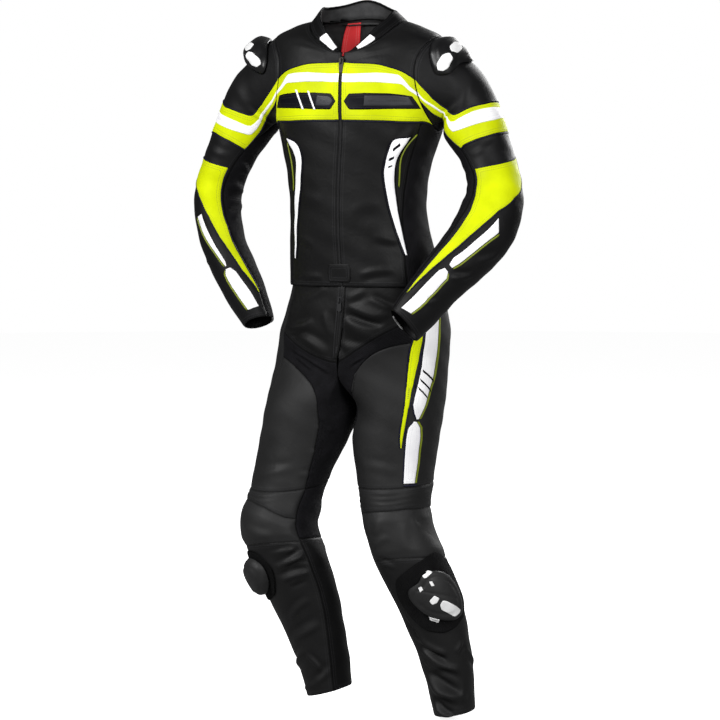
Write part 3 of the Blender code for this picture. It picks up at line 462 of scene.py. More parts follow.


# %% [markdown]
# One black isn't enough for black leather.  The grain of cowhide is a net of small
# cells, about a millimetre wide, with slower rises and falls under it; near a seam
# the colour is darkened as painted shade in the seam's groove, and the stitches show
# as short dashes.  These effects go into node groups, so that every leather shares
# them with its own numbers.

# %% Node groups for grain, seams and knit
def add(tree, kind, links=(), **settings):
    """A node with its settings and with links from (input, socket) pairs."""
    node = tree.nodes.new(kind)
    for key, value in settings.items():
        setattr(node, key, value)
    for key, value in links:
        if isinstance(value, bpy.types.NodeSocket):
            tree.links.new(value, node.inputs[key])
        else:
            node.inputs[key].default_value = value
    return node


def group(name, inputs, outputs):
    """A node group with number sockets; gives its tree, what goes in and what comes out."""
    tree = bpy.data.node_groups.new(name, "ShaderNodeTree")
    for label, default in inputs:
        socket = tree.interface.new_socket(label, in_out="INPUT", socket_type="NodeSocketFloat")
        socket.default_value = default
    for label in outputs:
        tree.interface.new_socket(label, in_out="OUTPUT", socket_type="NodeSocketFloat")
    return tree, add(tree, "NodeGroupInput").outputs, add(tree, "NodeGroupOutput").inputs


def math(tree, operation, a, b=0.0, clamp=False):
    return add(tree, "ShaderNodeMath", [(0, a), (1, b)], operation=operation, use_clamp=clamp).outputs[0]


def noise(tree, scale, detail, bend=0.0):
    at = add(tree, "ShaderNodeTexCoord").outputs["Object"]
    links = [("Vector", at), ("Scale", scale), ("Detail", detail), ("Distortion", bend)]
    return add(tree, "ShaderNodeTexNoise", links).outputs["Fac"]


grain, given, out = group("hide_grain", [("Cell", 900.0), ("Mottle", 14.0)], ["Height", "Tone"])
at = add(grain, "ShaderNodeTexCoord").outputs["Object"]
cells = add(grain, "ShaderNodeTexVoronoi", [("Vector", at), ("Scale", given["Cell"])]).outputs["Distance"]
rough = math(grain, "MULTIPLY", noise(grain, 260.0, 3.0), .9)
fine = math(grain, "ADD", math(grain, "MULTIPLY", cells, .7), rough)
worn = math(grain, "MULTIPLY", noise(grain, 42.0, 3.0, .8), 7.0)
grain.links.new(math(grain, "ADD", fine, worn), out["Height"])
grain.links.new(noise(grain, given["Mottle"], 4.0), out["Tone"])

seams, given, out = group("seam_shade_and_stitches", [("Pitch", .0036)], ["Seam Shade", "Thread", "Height"])
border, run = (add(seams, "ShaderNodeAttribute", attribute_name=name).outputs["Fac"]
               for name in ("border", "run"))
# painted shade in the seam's groove: 1 at the seam, fading to 0 three millimetres from it
dark = math(seams, "SUBTRACT", 1.0, math(seams, "DIVIDE", border, .0030), clamp=True)
dash = math(seams, "LESS_THAN", math(seams, "FRACT", math(seams, "DIVIDE", run, given["Pitch"])), .68)
rows = []
for distance in (.0040, .0085):
    off = math(seams, "ABSOLUTE", math(seams, "SUBTRACT", border, distance))
    rows.append(math(seams, "LESS_THAN", off, .00042))
thread = math(seams, "MULTIPLY", math(seams, "MAXIMUM", *rows), dash)
for name, value in (("Seam Shade", dark), ("Thread", thread), ("Height", math(seams, "MULTIPLY", thread, .5))):
    seams.links.new(value, out[name])

knit, given, out = group("ribbed_knit", [("Rib", 1900.0)], ["Height", "Tone"])
flat = add(knit, "ShaderNodeUVMap", uv_map="cut").outputs["UV"]
cut = add(knit, "ShaderNodeSeparateXYZ", [("Vector", flat)]).outputs
rib = math(knit, "MULTIPLY", math(knit, "SINE", math(knit, "MULTIPLY", cut["X"], given["Rib"])), .6)
loop = math(knit, "MULTIPLY", math(knit, "SINE", math(knit, "MULTIPLY", cut["Y"], 5200.0)), .25)
knit.links.new(math(knit, "ADD", rib, loop), out["Height"])
knit.links.new(noise(knit, 40.0, 3.0), out["Tone"])
print("node groups:", [g.name for g in bpy.data.node_groups])


# %% Leather, knit, plastic and metal
def blank(name, colour, roughness, specular=.5, metallic=0.0):
    """A new material, its node tree and its shader."""
    material = bpy.data.materials.new(name)
    material.use_nodes = True
    material.diffuse_color = (*colour, 1)
    shader = material.node_tree.nodes["Principled BSDF"]
    for socket, value in (("Base Color", (*colour, 1)), ("Roughness", roughness),
                          ("Specular IOR Level", specular), ("Metallic", metallic)):
        shader.inputs[socket].default_value = value
    return material, material.node_tree, shader


def mix(tree, fac, a, b):
    """One colour over another; a colour is a socket or three numbers."""
    a, b = ((*value, 1) if isinstance(value, tuple) else value for value in (a, b))
    return add(tree, "ShaderNodeMix", [(0, fac), (6, a), (7, b)], data_type="RGBA").outputs[2]


def remap(tree, value, low, high):
    limits = [("Value", value), ("From Min", .3), ("From Max", .7), ("To Min", low), ("To Max", high)]
    return add(tree, "ShaderNodeMapRange", limits).outputs["Result"]


def times(colour, factor):
    return tuple(min(1, c * factor) for c in colour)


def mottled(tree, tone, colour, deep, pale):
    return mix(tree, remap(tree, tone, 0.0, 1.0), times(colour, deep), times(colour, pale))


def finish(tree, shader, colour, height, distance, strength):
    """Joins a colour and a bump to a shader."""
    tree.links.new(colour, shader.inputs["Base Color"])
    bump = add(tree, "ShaderNodeBump", [("Height", height), ("Distance", distance), ("Strength", strength)])
    tree.links.new(bump.outputs["Normal"], shader.inputs["Normal"])


def leather(name, colour, roughness=.56, specular=.24, thread=(.02, .02, .022), painted_glow=0.0, seam_shade=.6):
    """Dyed cowhide: grain, slow mottling, painted shade in the seams' grooves and two rows of stitches; a
    glow, if given, is painted light.
    """
    material, tree, shader = blank(name, colour, roughness, specular)
    hide, sewn = (add(tree, "ShaderNodeGroup", node_tree=used).outputs for used in (grain, seams))
    dyed = mottled(tree, hide["Tone"], colour, .84, 1.16)
    # painted shade: near a seam the colour darkens towards a quarter of itself
    shaded = mix(tree, math(tree, "MULTIPLY", sewn["Seam Shade"], seam_shade), dyed, times(colour, .25))
    final = mix(tree, sewn["Thread"], shaded, thread)
    finish(tree, shader, final, math(tree, "ADD", hide["Height"], sewn["Height"]), .00012, .8)
    tree.links.new(remap(tree, hide["Tone"], roughness - .07, roughness + .07), shader.inputs["Roughness"])
    # painted light: the glow makes the colour brighter than the lamps alone would
    if painted_glow:
        tree.links.new(final, shader.inputs["Emission Color"])
        shader.inputs["Emission Strength"].default_value = painted_glow
    return material


def stretch_knit(name, colour):
    """Ribbed stretch cloth, which takes almost no light."""
    material, tree, shader = blank(name, colour, .85, .12)
    ribs, sewn = (add(tree, "ShaderNodeGroup", node_tree=used).outputs for used in (knit, seams))
    # painted shade: the knit darkens to almost black in its seams' grooves
    toned = mix(tree, sewn["Seam Shade"], mottled(tree, ribs["Tone"], colour, .7, 1.3), (.001, .001, .001))
    finish(tree, shader, toned, ribs["Height"], .0005, .7)
    return material


def moulded(name, colour, roughness, specular=.5, metallic=0.0):
    """Moulded plastic or cast metal with a fine texture and faint scuffs."""
    material, tree, shader = blank(name, colour, roughness, specular, metallic)
    hide = add(tree, "ShaderNodeGroup", [("Cell", 1500.0), ("Mottle", 55.0)], node_tree=grain).outputs
    finish(tree, shader, mottled(tree, hide["Tone"], colour, .85, 1.12), hide["Height"], .00005, .5)
    tree.links.new(remap(tree, hide["Tone"], roughness - .06, roughness + .12), shader.inputs["Roughness"])
    return material


torso_black = leather("torso_black", (.0037, .0037, .0039), specular=.19)
sleeve_black = leather("sleeve_black", (.0038, .0038, .0042), specular=.20)
yoke_black = leather("yoke_black", (.0038, .0038, .0039), specular=.20)
thigh_black = leather("thigh_black", (.0134, .0134, .0136), .60)
knee_black = leather("knee_black", (.0178, .0178, .0180), .58)
shin_black = leather("shin_black", (.0076, .0076, .0078), specular=.22)
# painted shade: the calf leather is darker than the shin's, standing for the shade on the inner calf
calf_shade_black = leather("calf_shade_black", (.0034, .0034, .0036), specular=.12)
collar_black = leather("collar_black", (.0022, .0022, .0024), .62, .10, seam_shade=.2)
# painted light: the yellow, white and red glow a little to look brighter than the lamps make them; for the
# yellow the glow also stands for its fluorescent dye
bright_yellow = leather("bright_yellow", (.56, .645, .002), .55, .07, (.30, .34, .02), .10, .10)
dull_yellow = leather("dull_yellow", (.22, .27, .010), .45, .4, (.2, .24, .02), seam_shade=.2)
snow_white = leather("snow_white", (.90, .89, .92), .50, .2, (.70, .69, .73), .13, .06)
inset_black = leather("inset_black", (.0030, .0030, .0058), .50, .10)
inset_grey = leather("inset_grey", (.028, .029, .034), .46)
piping_navy = moulded("piping_navy", (.0022, .0020, .0160), .55, .3)
stretch_black = stretch_knit("stretch_black", (.0060, .0058, .0070))
# painted light: the label's strong glow lifts it out of the shade inside the neck
label_red = leather("label_red", (.74, .045, .050), .8, .2, (.8, .16, .16), .42, .1)
edge_grey = moulded("edge_grey", (.34, .34, .34), .6, .3)
cup_black = moulded("cup_black", (.0050, .0050, .0055), .34, .4)
cup_white = moulded("cup_white", (.95, .95, .95), .35, .5)
puck_grey = moulded("puck_grey", (.0165, .0165, .0168), .55, .3)
lining_grey = stretch_knit("lining_grey", (.060, .060, .061))
hook_black = stretch_knit("hook_black", (.0040, .0040, .0042))
zip_black = moulded("zip_black", (.010, .010, .011), .6, .3)
zip_metal = moulded("zip_metal", (.040, .036, .032), .38, .5, .8)
print("materials:", len(bpy.data.materials))

# %% [markdown]
# The jacket body is four kinds of panel: two fronts, one back and a knitted side
# under each arm.  A front's outer border follows the side seam, then the armhole,
# then the shoulder seam, so one function gives its angle for every row.

# %% Jacket body
LOW, HIGH = float(armhole("left", 130)[1]), 7.1     # rows of the side seam's end, the shoulder seam's start
SEAM_FOOT, SEAM_TOP, ZIP_GAP = 60, 66.25, 1.15      # angles


def side_seam(row):
    return SEAM_FOOT + (SEAM_TOP - SEAM_FOOT) * (row / LOW) ** 2


def front_edge(row):
    """The angle where a front ends: side seam, armhole or shoulder seam."""
    bend = np.clip((row - HOLE_MIDDLE) / HOLE_HALF, -1, 1)
    above = np.where(row < HIGH, 90 - HOLE_DEPTH * np.sqrt(1 - bend ** 2), 90)
    return np.where(row < LOW, side_seam(np.minimum(row, LOW)), above)


def body_rows(t):
    """Rows of a front or back, closer together where the armhole closes."""
    hole = HOLE_MIDDLE + HOLE_HALF * np.cos(np.radians(np.linspace(128, 0, 60)))
    steps = np.concatenate([np.linspace(0, LOW, 40), hole, np.linspace(HIGH, 9, 20)[1:]])
    return np.interp(t, np.linspace(0, 1, len(steps)), steps)


for side, sign in SIDE.items():
    def front(s, t):
        row = body_rows(t)
        return sign * (ZIP_GAP + (front_edge(row) - ZIP_GAP) * s), row

    def under_arm(s, t):
        top_angle, top_row = armhole("left", 130 + 100 * s)
        swing = (90 - side_seam(LOW * t)) / (90 - SEAM_TOP)
        return sign * (90 + (top_angle - 90) * swing), top_row * t
    lay(f"front_{side}_leather", "torso", front, torso_black)
    lay(f"side_{side}_knit", "torso", under_arm, stretch_black, STRETCH)


def back(s, t):
    row = body_rows(t)
    edge = 180 - front_edge(row)
    return edge + 2 * (180 - edge) * s, row


def back_folds(angle, row, border):
    """Stretch panels of flat pleats across the shoulder blades and above the waist."""
    total = 0
    for low, high, wide in ((5.9, 6.5, 42), (1.0, 1.75, 40)):
        rows = smooth((row - low) / .06) * smooth((high - row) / .06)
        inside = rows * smooth((wide - np.abs(angle - 180)) / 4)
        total = total + inside * .0022 * np.abs(np.sin((row - low) / (high - low) * pi * 5))
    return total


lay("back_leather", "torso", back, torso_black, relief=back_folds)
print("jacket body panels:", len(made))

# %% [markdown]
# A sleeve has a leather outer half and a knitted inner half, joined by two seams
# that run from the armhole to the cuff.

# %% Sleeves
SLEEVE_SEAM = {"right": places("""
    0 155   1.2 160   1.75 156   2.55 138   3.25 129   3.8 127   4.4 135   5.65 144   7.15 153
    8 155"""),
    "left": places("""
    0 155   1.2 160   1.75 154   2.55 126   3.4 121   4.05 123   4.8 122   5.9 126   7.85 127
    9 128""")}
SLEEVE_START = .004


def sleeve_seam(side, row):
    """The inner sleeve's seam, smooth between the places that it passes."""
    rows, angles = SLEEVE_SEAM[side].T
    slope = np.gradient(angles, rows)
    i = np.clip(np.searchsorted(rows, row, "right") - 1, 0, len(rows) - 2)
    h = rows[i + 1] - rows[i]
    f = (row - rows[i]) / h
    return (angles[i] * (1 + 2 * f) * (1 - f) ** 2 + angles[i + 1] * f * f * (3 - 2 * f)
            + h * (slope[i] * f * (1 - f) ** 2 - slope[i + 1] * f * f * (1 - f)))


def sleeve_half(side, middle):
    """The outer half, round angle 0, or the inner half, round angle 180."""
    def place(s, t):
        row = SLEEVE_START + (len(ARM[side]) - SLEEVE_START) * t
        return middle + np.abs(middle - sleeve_seam(side, row)) * (2 * s - 1), row
    return place


for side in SIDE:
    lay(f"sleeve_outer_{side}_leather", "arm_" + side, sleeve_half(side, 0), sleeve_black)
    lay(f"sleeve_inner_{side}_knit", "arm_" + side, sleeve_half(side, 180), stretch_black, STRETCH)
print("with sleeves:", len(made))

# %% [markdown]
# The trousers start inside the jacket's hem.  At the front a leather yoke covers
# each hip and ends in a slanted seam; below it a knitted band runs through the
# crotch and down the inner thigh.  Seat, thigh, knee, shin and calf are leather.
# Seams that two panels share come from the same list, so the borders meet.

# %% Trousers above the knee
YOKE_HEM = {"right": places("""
    38 2.9   50 3.12   65 3.33   82 3.48   98 3.55   113 3.58   128.4 3.58"""),
    "left": places("""
    38 2.35   50 2.48   65 2.7   82 2.95   98 3.18   113 3.38   128.4 3.56""")}
THIGH_TOP = {"right": places("""
    38 3.87   50 3.96   62 4.07   74 4.17   86 4.27   96 4.37   106 4.52"""),
    "left": places("""
    38 3.22   50 3.25   62 3.31   74 3.43   84 3.63   94 3.88   108 4.26""")}
THIGH_INNER = {"right": places("""
    112 4.64   117 4.78   121 4.95   125 5.15   129 5.38   132 5.75   136 6.2   140 6.6
    144.5 7.05"""),
    "left": places("""
    118 4.45   128 4.6   136 4.8   141 5.08   144 5.45   146 5.85   146.5 6.3   145.5 6.7
    144 7.05""")}
CROTCH_DOWN = places("230 4   228 4.6   226 5.3   224 6.1   222 7.05")
KNEE_TOP, KNEE_MIDDLE, HEM = 7.05, 7.65, 13
KNEE_HEM = {"right": 8.5, "left": 8.95}
UNDER = [(angle, CROTCH) for angle in (130, 155, 180, 205)]     # under the crotch
SIDE_LINE, CALF_LINE, YOKE_LINE = 38, -50, 128.4    # angles of the seams that run down


def chain(*runs):
    """Curves one after another with straight steps between them, read from 0 to 1."""
    runs = [np.array(run, float) for run in runs]
    total = sum(len(run) for run in runs) - 1

    def read(u):
        at = np.asarray(u, float) * total
        found, start = np.zeros(at.shape + (2,)), 0
        for run, following in zip(runs, runs[1:] + [None]):
            end = start + len(run) - 1
            mine = (at >= start) & (at <= end + (1e-9 if following is None else 0))
            found[mine] = through(run, at[mine] - start) if len(run) > 1 else run[0]
            if following is not None:
                gap = (at > end) & (at < end + 1)
                f = (at[gap] - end)[..., None]
                found[gap] = run[-1] * (1 - f) + following[0] * f
            start = end + 1
        return found
    return read


def two_numbers(place):
    """Lets a function of two numbers take arrays of any shape, and give angles and rows."""
    def read(s, t):
        s, t = np.broadcast_arrays(np.asarray(s, float), np.asarray(t, float))
        return tuple(np.moveaxis(place(s, t), -1, 0))
    return read


def inside(bottom, top, left, right):
    """A piece between four curves; bottom and top run from left to right."""
    def place(s, t):
        b, u, l, r = bottom(s), top(s), left(t), right(t)
        s, t = s[..., None], t[..., None]
        corners = ((1 - s) * (1 - t) * bottom(np.zeros(1)) + s * (1 - t) * bottom(np.ones(1))
                   + (1 - s) * t * top(np.zeros(1)) + s * t * top(np.ones(1)))
        return (1 - t) * b + t * u + (1 - s) * l + s * r - corners
    return two_numbers(place)


def side_by_side(left, right):
    return two_numbers(lambda s, t: left(t) + (right(t) - left(t)) * s[..., None])


for side in SIDE:
    kind, hem, top, inner = "leg_" + side, YOKE_HEM[side], THIGH_TOP[side], THIGH_INNER[side]
    yoke = inside(chain([(SIDE_LINE, 0), (YOKE_LINE, 0)]), chain(hem), chain([(SIDE_LINE, 0), hem[0]]),
                  chain([(YOKE_LINE, 0), hem[-1]]))
    lay(f"yoke_{side}_leather", kind, yoke, yoke_black)
    band = side_by_side(chain(hem, UNDER, CROTCH_DOWN), chain(top, inner))
    lay(f"stretch_{side}_knit", kind, band, stretch_black, STRETCH)
    thigh = inside(chain(top), chain([(SIDE_LINE, KNEE_TOP), inner[-1]]),
                   chain([top[0], (SIDE_LINE, KNEE_TOP)]), chain([top[-1]], inner))
    lay(f"thigh_{side}_leather", kind, thigh, thigh_black)
    seat = side_by_side(chain([(-SPLIT, row) for row in range(CROTCH)], CROTCH_DOWN - (360, 0)),
                        chain([(SIDE_LINE, KNEE_TOP * k / 8) for k in range(9)]))
    lay(f"seat_{side}_leather", kind, seat, thigh_black)
print("with thighs:", len(made))


# %% Knees and lower legs
# each curve: places along it, then what it is there
KNEE_CURVE = {"right": ((-50, 60, 90, 127, 150), (7.42, 7.32, 7.46, 7.80, 7.90)),
              "left": ((-50, 40, 100, 150), (7.72, 7.62, 7.66, 7.74))}
KNIT_END, KNIT_BACK = 8.42, 226
CALF_EDGE = {"right": ((8.42, 8.9, 9.9, 10.7, 11.4, 12.3, 13), (144.5, 143.5, 143, 140.6, 135.5, 131, 131)),
             "left": ((8.42, 10, 11.4, 13), (144, 144, 142, 140))}


def read_at(at, *curves):
    """Each curve's value at some places; a plain number stays as it is."""
    return [np.interp(at, *curve) if isinstance(curve, tuple) else curve for curve in curves]


def band_between(a0, a1, r0, r1):
    """A band round the leg between two angles and two rows, each a number or a curve."""
    first, last = (np.mean(r[1]) if isinstance(r, tuple) else r for r in (r0, r1))

    def place(s, t):
        left, right = read_at(first + (last - first) * np.asarray(t), a0, a1)
        angle = left + (right - left) * np.asarray(s)
        low, high = read_at(angle, r0, r1)
        return angle, low + (high - low) * np.asarray(t)
    return place


def pleats(angle, row, border):
    """Rounded folds across the accordion panel, flatter towards its ends."""
    t = (row - KNEE_TOP) / (KNEE_MIDDLE - KNEE_TOP)
    strength = .0013 + .0007 * np.sin(angle * .09 + 2 * t)
    return strength * np.abs(np.sin((t + .05 * np.sin(angle * .06)) * pi * 4)) ** .8 * smooth(border / .010)


def knee_shape(angle, row, border):
    """The padded knee stands out a little between its seams."""
    return .0032 * smooth(border / .020)


for side in SIDE:
    kind, inner, edge, end = "leg_" + side, THIGH_INNER[side][-1][0], CALF_EDGE[side], 360 + CALF_LINE
    for name, a0, a1, r0, r1, material, relief, cell in (
            ("accordion", CALF_LINE, edge, KNEE_TOP, KNEE_CURVE[side], thigh_black, pleats, .0036),
            ("knee", CALF_LINE, edge, KNEE_CURVE[side], KNEE_HEM[side], knee_black, knee_shape, .0036),
            ("shin", CALF_LINE, edge, KNEE_HEM[side], HEM, shin_black, None, .0036),
            ("calf", edge, end, KNIT_END, HEM, calf_shade_black, None, .0045),
            ("knee_back", KNIT_BACK, end, KNEE_TOP, KNIT_END, thigh_black, None, .0045)):
        lay(f"{name}_{side}_leather", kind, band_between(a0, a1, r0, r1), material, relief=relief, cell=cell)
    lay(f"knee_inner_{side}_knit", kind, band_between(inner, KNIT_BACK, KNEE_TOP, KNIT_END), stretch_black,
        STRETCH)
print("with lower legs:", len(made))

# %% [markdown]
# The bright bands are leather appliques: thin pieces sewn on top, their edges
# turned under and rounded.  A white piece lies on a yellow one.  A dark piping,
# a cord covered with leather, runs along the bright edges.


# %% Appliques and piping
GLUE, LAYER = .0003, .0008      # metres under a patch, and for each patch below it


def patch(name, kind, place, material, level=0, thick=.0009, cell=.0035):
    """A sewn-on piece; level counts how many others it lies on."""
    lay(name + "_patch", kind, place, material, thick, GLUE + thick + level * LAYER, cell, sink=.0005,
        soft=.0014, pucker=.00006)


def piping(name, kind, points, material=piping_navy, radius=.0013, lift=.0006, straight=False):
    """A tube of covered cord that follows points of (angle, row) on a form."""
    points = np.array(points, float)
    knots = np.arange(len(points))
    at = np.linspace(0, knots[-1], 12 * knots[-1] + 1)
    path = np.stack([np.interp(at, knots, c) for c in points.T], -1) if straight else through(points, at)
    far = walked(form(kind, *path.T))
    want = np.linspace(0, far[-1], max(4, int(far[-1] / .004)) + 1)
    centre, normal = skin(kind, *(np.interp(want, far, c) for c in path.T), lift)
    ahead = np.gradient(centre, axis=0)
    ahead /= np.linalg.norm(ahead, axis=1, keepdims=True)
    turn = np.linspace(0, 2 * pi, 9)[None, :, None]
    taper = np.ones((len(want), 1, 1))
    taper[[0, -1]] = .35
    outward = np.cos(turn) * normal[:, None] + np.sin(turn) * np.cross(ahead, normal)[:, None]
    obj = grid_object(name, centre[:, None] + radius * taper * outward, outward)[0]
    bm = bmesh.new()
    bm.from_mesh(obj.data)
    bmesh.ops.remove_doubles(bm, verts=bm.verts[:], dist=1e-6)
    bmesh.ops.holes_fill(bm, edges=[e for e in bm.edges if e.is_boundary], sides=0)
    bmesh.ops.recalc_face_normals(bm, faces=bm.faces[:])
    into_mesh(bm, obj.data)
    settle(obj, material)


def armhole_edge(sign):
    """Places just inside the front of the armhole, from its foot up."""
    angle, row = armhole("left", np.linspace(149, 95, 8))
    return np.stack((sign * (angle - .6), row), -1)


CHEST_TOP = places("""
    1.7 6.78   17 6.54   32 6.24   42 5.96   50.5 5.72   55.5 5.54   58.6 5.42""")
CHEST_LOW = places("""
    1.7 4.4   15 4.38   28 4.35   40 4.31   50 4.27   60 4.25   68.4 4.24   76 4.16""")
CHEST_WHITE = edges("""
    1.7 6.02 1.7 5.64   18 5.95 18 5.6   32 5.85 32 5.5   43 5.71 43 5.39   49 5.61 49.5 5.33
    51.6 5.47 51.2 5.29   55.6 5.22 54.8 5.12   60 5.05 60.8 4.93""")
INSET = edges("""
    4.2 4.97 4.2 4.94   6.5 5.1 6.5 4.81   9 5.21 9 4.69   24 5.18 24 4.66   42 5.08 42 4.62
    52 4.99 53 4.59   57.3 4.93 63.8 4.57""")
INSET_GREY = {"right": edges("""
    6.6 4.97 6.6 4.94   9.4 5.11 9.4 4.79   16 5.11 16 4.77   22 5.1 23.4 4.76"""),
    "left": edges("""
    23 5.1 22 4.77   34 5.06 34 4.73   46 5 46 4.69   55 4.92 58.5 4.67""")}
SLASHES = edges("-42.2 5.17 -36.2 4.62   -31.2 5.2 -25.2 4.65")
SLASH_WIDTH = 1.9
for side, sign in SIDE.items():
    low, top = CHEST_LOW * (sign, 1), CHEST_TOP * (sign, 1)
    chest = inside(chain(low), chain(top), chain([low[0], top[0]]), chain([low[-1]], armhole_edge(sign)))
    patch(f"chest_yellow_{side}", "torso", chest, bright_yellow)
    for name, strip, material, level, thick, under in (
            ("white", CHEST_WHITE, snow_white, 1, .0009, "yellow"),
            ("inset", INSET, inset_black, 1, .0009, "yellow"),
            ("grey", INSET_GREY[side], inset_grey, 2, .0006, "inset")):
        patch(f"chest_{name}_{side}", "torso", between(strip * (sign, 1)), material, level, thick, .003)
    piping("chest_top_piping_" + side, "torso", top + (0, .045))
    piping("chest_low_piping_" + side, "torso", low - (0, .035))
for number, (top, low) in enumerate(SLASHES):
    line = np.array((top, (top + low) / 2, low))
    slash = np.stack((line, line + (SLASH_WIDTH, 0)), 1)
    patch(f"chest_slash_{number}", "torso", between(slash, True), snow_white, 2, .0006, .0025)
print("chest done:", len(made))

# %% Bands round the upper arm
SLEEVE_YELLOW = {"right": edges("""
    -152 1.46 -150 2.14   -80 1.5 -80 2.2   -40 1.52 -40 2.22   0 1.55 0 2.25   54 1.6 54 2.27
    90 1.5 98 2.4   106 1.43 126 2.52   112 1.36 134.5 2.56   115 1.22 138.5 2.3
    116 1.06 141 1.92   113 .7 138 1.15   105 .36 131 .57   99.5 .16 124 .17   95 .02 119 .02"""),
    "left": edges("""
    -152 1.56 -150 2.24   -80 1.6 -80 2.3   -40 1.62 -40 2.32   0 1.64 0 2.34   40 1.62 36 2.36
    75 1.53 78 2.42   98 1.5 110 2.5   108 1.44 120 2.57   114 1.32 127 2.4   118.5 1.12 135 2.09
    119.5 .92 142 1.75   117.5 .72 147 1.25   112 .5 145 .78   105.5 .36 136 .42   99 .16 126 .2
    95 .02 119 .02""")}
SLEEVE_WHITE = {"right": edges("""
    -152 1.66 -151 1.93   -80 1.68 -80 1.95   -40 1.7 -40 1.97   0 1.74 0 2   51 1.8 51 2.05
    90 1.8 94 2.1   112 1.82 122 2.12   119 1.78 128.5 2.09   123 1.62 132 1.85
    126 1.3 132.5 1.4   122 .72 127.5 .78   116 .3 121 .32   108.5 .02 113.5 .02"""),
    "left": edges("""
    -152 1.72 -151 1.98   -80 1.74 -80 1.99   -40 1.75 -40 2   0 1.76 0 2.01   36 1.72 34 2.04
    70 1.66 72 2.03   98 1.66 104 2.04   108 1.68 116.5 2.02   118 1.6 123 1.8   125 1.4 130 1.5
    129 1.05 133 1.1   126 .72 131 .74   120 .46 124.5 .47   115.5 .22 119.5 .22
    108.5 .02 113.5 .02""")}
CORNER = {"right": 7, "left": 8}    # where a band turns from round the arm to up the arm
for side in SIDE:
    kind, yellow = "arm_" + side, SLEEVE_YELLOW[side]
    patch(f"sleeve_yellow_{side}", kind, between(yellow), bright_yellow)
    patch(f"sleeve_white_{side}", kind, between(SLEEVE_WHITE[side]), snow_white, 1, cell=.003)
    round_it = np.arange(len(yellow))[:, None] <= CORNER[side]
    for number, along, beside in ((0, -.035, -1.6), (1, .03, 1.2)):
        line = yellow[:, number] + np.where(round_it, (0, along), (beside, 0))
        piping(f"sleeve_piping_{side}_{number}", kind, line, straight=True)

# %% Forearms
FOREARM_YELLOW = {"right": edges("""
    -20 2.86 120.3 3.14   -12 3.2 118.5 3.42   28 3.55 121 3.8   58 3.8 123.5 4.06
    76 4.1 128 4.4   94 4.49 133.7 4.77   106 4.9 136.5 5.3   116 5.32 138.5 5.7
    129.4 6.33 143 6.4   146.4 7.1 149.8 7.15"""),
    "left": edges("""
    -20 3 110.5 3.39   -15 3.4 112.5 3.8   3 3.72 114.2 4.3   32 4.1 111.5 4.72   60 4.7 109 5.2
    72 5.22 109.3 5.7   81.8 5.8 110.5 6.2   94 6.75 112.3 7.1   111.6 7.84 115.6 7.92""")}
FOREARM_WHITE = {"right": [edges("""
    58 4.46 73 4.4   64 4.8 80 4.74   75 5.16 88.5 5.1   83.5 5.52 94 5.5   89.5 5.92 98 5.92
    93.5 6.1 96.5 6.07"""), edges("""
    91 6.19 103 6.17   83 6.36 112 6.34   82.5 6.75 117 6.72   88 7.2 125 7.16   94.5 7.6 132 7.57""")],
    "left": [edges("""
    41 5.22 54.5 4.9   47.5 5.52 61 5.36   53 5.86 67.5 5.8   57 6.2 72 6.2   60 6.5 77 6.48
    64 6.67 73 6.65"""), edges("""
    64 6.8 75 6.78   55.5 6.94 81 6.91   56 7.45 85 7.42   59 8 90 8.02   64 8.44 96 8.56""")]}
for side in SIDE:
    kind, yellow, sleeve = "arm_" + side, FOREARM_YELLOW[side], f"sleeve_outer_{side}_leather"
    patch(f"forearm_yellow_{side}", kind, between(yellow), bright_yellow)
    piping("forearm_outer_piping_" + side, kind, yellow[:, 0] - (1.5, 0), straight=True)
    piping("forearm_inner_piping_" + side, kind, yellow[:, 1] + (1.5, 0), straight=True)
    piping("forearm_top_piping_" + side, kind,
           yellow[0, 0] + (yellow[0, 1] - yellow[0, 0]) * np.arange(7)[:, None] / 6 - (0, .02))
    for number, strip in enumerate(FOREARM_WHITE[side]):
        patch(f"forearm_white_{side}_{number}", kind, between(strip), snow_white, cell=.003)
        line = strip[:, 0] - (3.2, 0)
        line[0, 1] += .02
        piping(f"forearm_line_{side}_{number}", kind, line, dull_yellow, .0017, straight=True)
for side in SIDE:
    cuff = [(angle, len(ARM[side]) - .012) for angle in (186, 200, 214, 228, 240)]
    piping("cuff_edge_" + side, "arm_" + side, cuff, edge_grey, .0019, -.0026)
print("arms done:", len(made))

# %% Vent accents on the fronts
VENT = {"right": edges("""
    54 3.81 55.2 3.79   44.8 3.71 52 3.66   40 3.5 47.6 3.5   39.2 3.1 45.4 3.1
    42.6 2.45 49.4 2.45   47.3 1.85 51.6 1.85   50 1.25 52.6 1.25   51.8 .84 53 .84"""),
    "left": edges("""
    57 3.82 58.2 3.84   46.5 3.77 56.4 3.7   43.6 3.5 52.9 3.48   42.2 3.17 50.5 3.17
    42.4 2.85 50.8 2.8   47.4 2.25 54.2 2.25   52.2 1.78 57.8 1.76   56.6 1.35 60.3 1.3
    60.8 .94 61.9 .94""")}
VENT_LINE = {"right": places("""
    56 3.7   54 3.45   51.6 3.15   51 2.8   52.6 2.5"""),
    "left": places("""
    63.8 3.9   59 3.7   55.6 3.48   54.5 3.17   56 2.58""")}
VENT_SLOTS = [edges("""
    46.2 3.55 46.8 3.47   51 3.7 51.6 3.62"""), edges("""
    44.4 3.3 44.4 3.22   48.4 3.36 48.4 3.28"""), edges("""
    44.6 3.1 44.6 3.05   48 3.14 48 3.09""")]
for side, sign in SIDE.items():
    wide = VENT[side] + ((-2.2, 0), (1.6, 0))
    wide[0, :, 1] += .05
    patch(f"vent_frame_{side}", "torso", between(wide * (sign, 1), True), inset_black)
    patch(f"vent_{side}", "torso", between(VENT[side] * (sign, 1), True), snow_white, 1, cell=.0025)
    piping("vent_line_" + side, "torso", VENT_LINE[side] * (sign, 1), dull_yellow, .0015, .0009)
for number, slit in enumerate(VENT_SLOTS):
    patch(f"vent_slot_left_{number}", "torso", between(slit), inset_black, 2, .0005, .002)

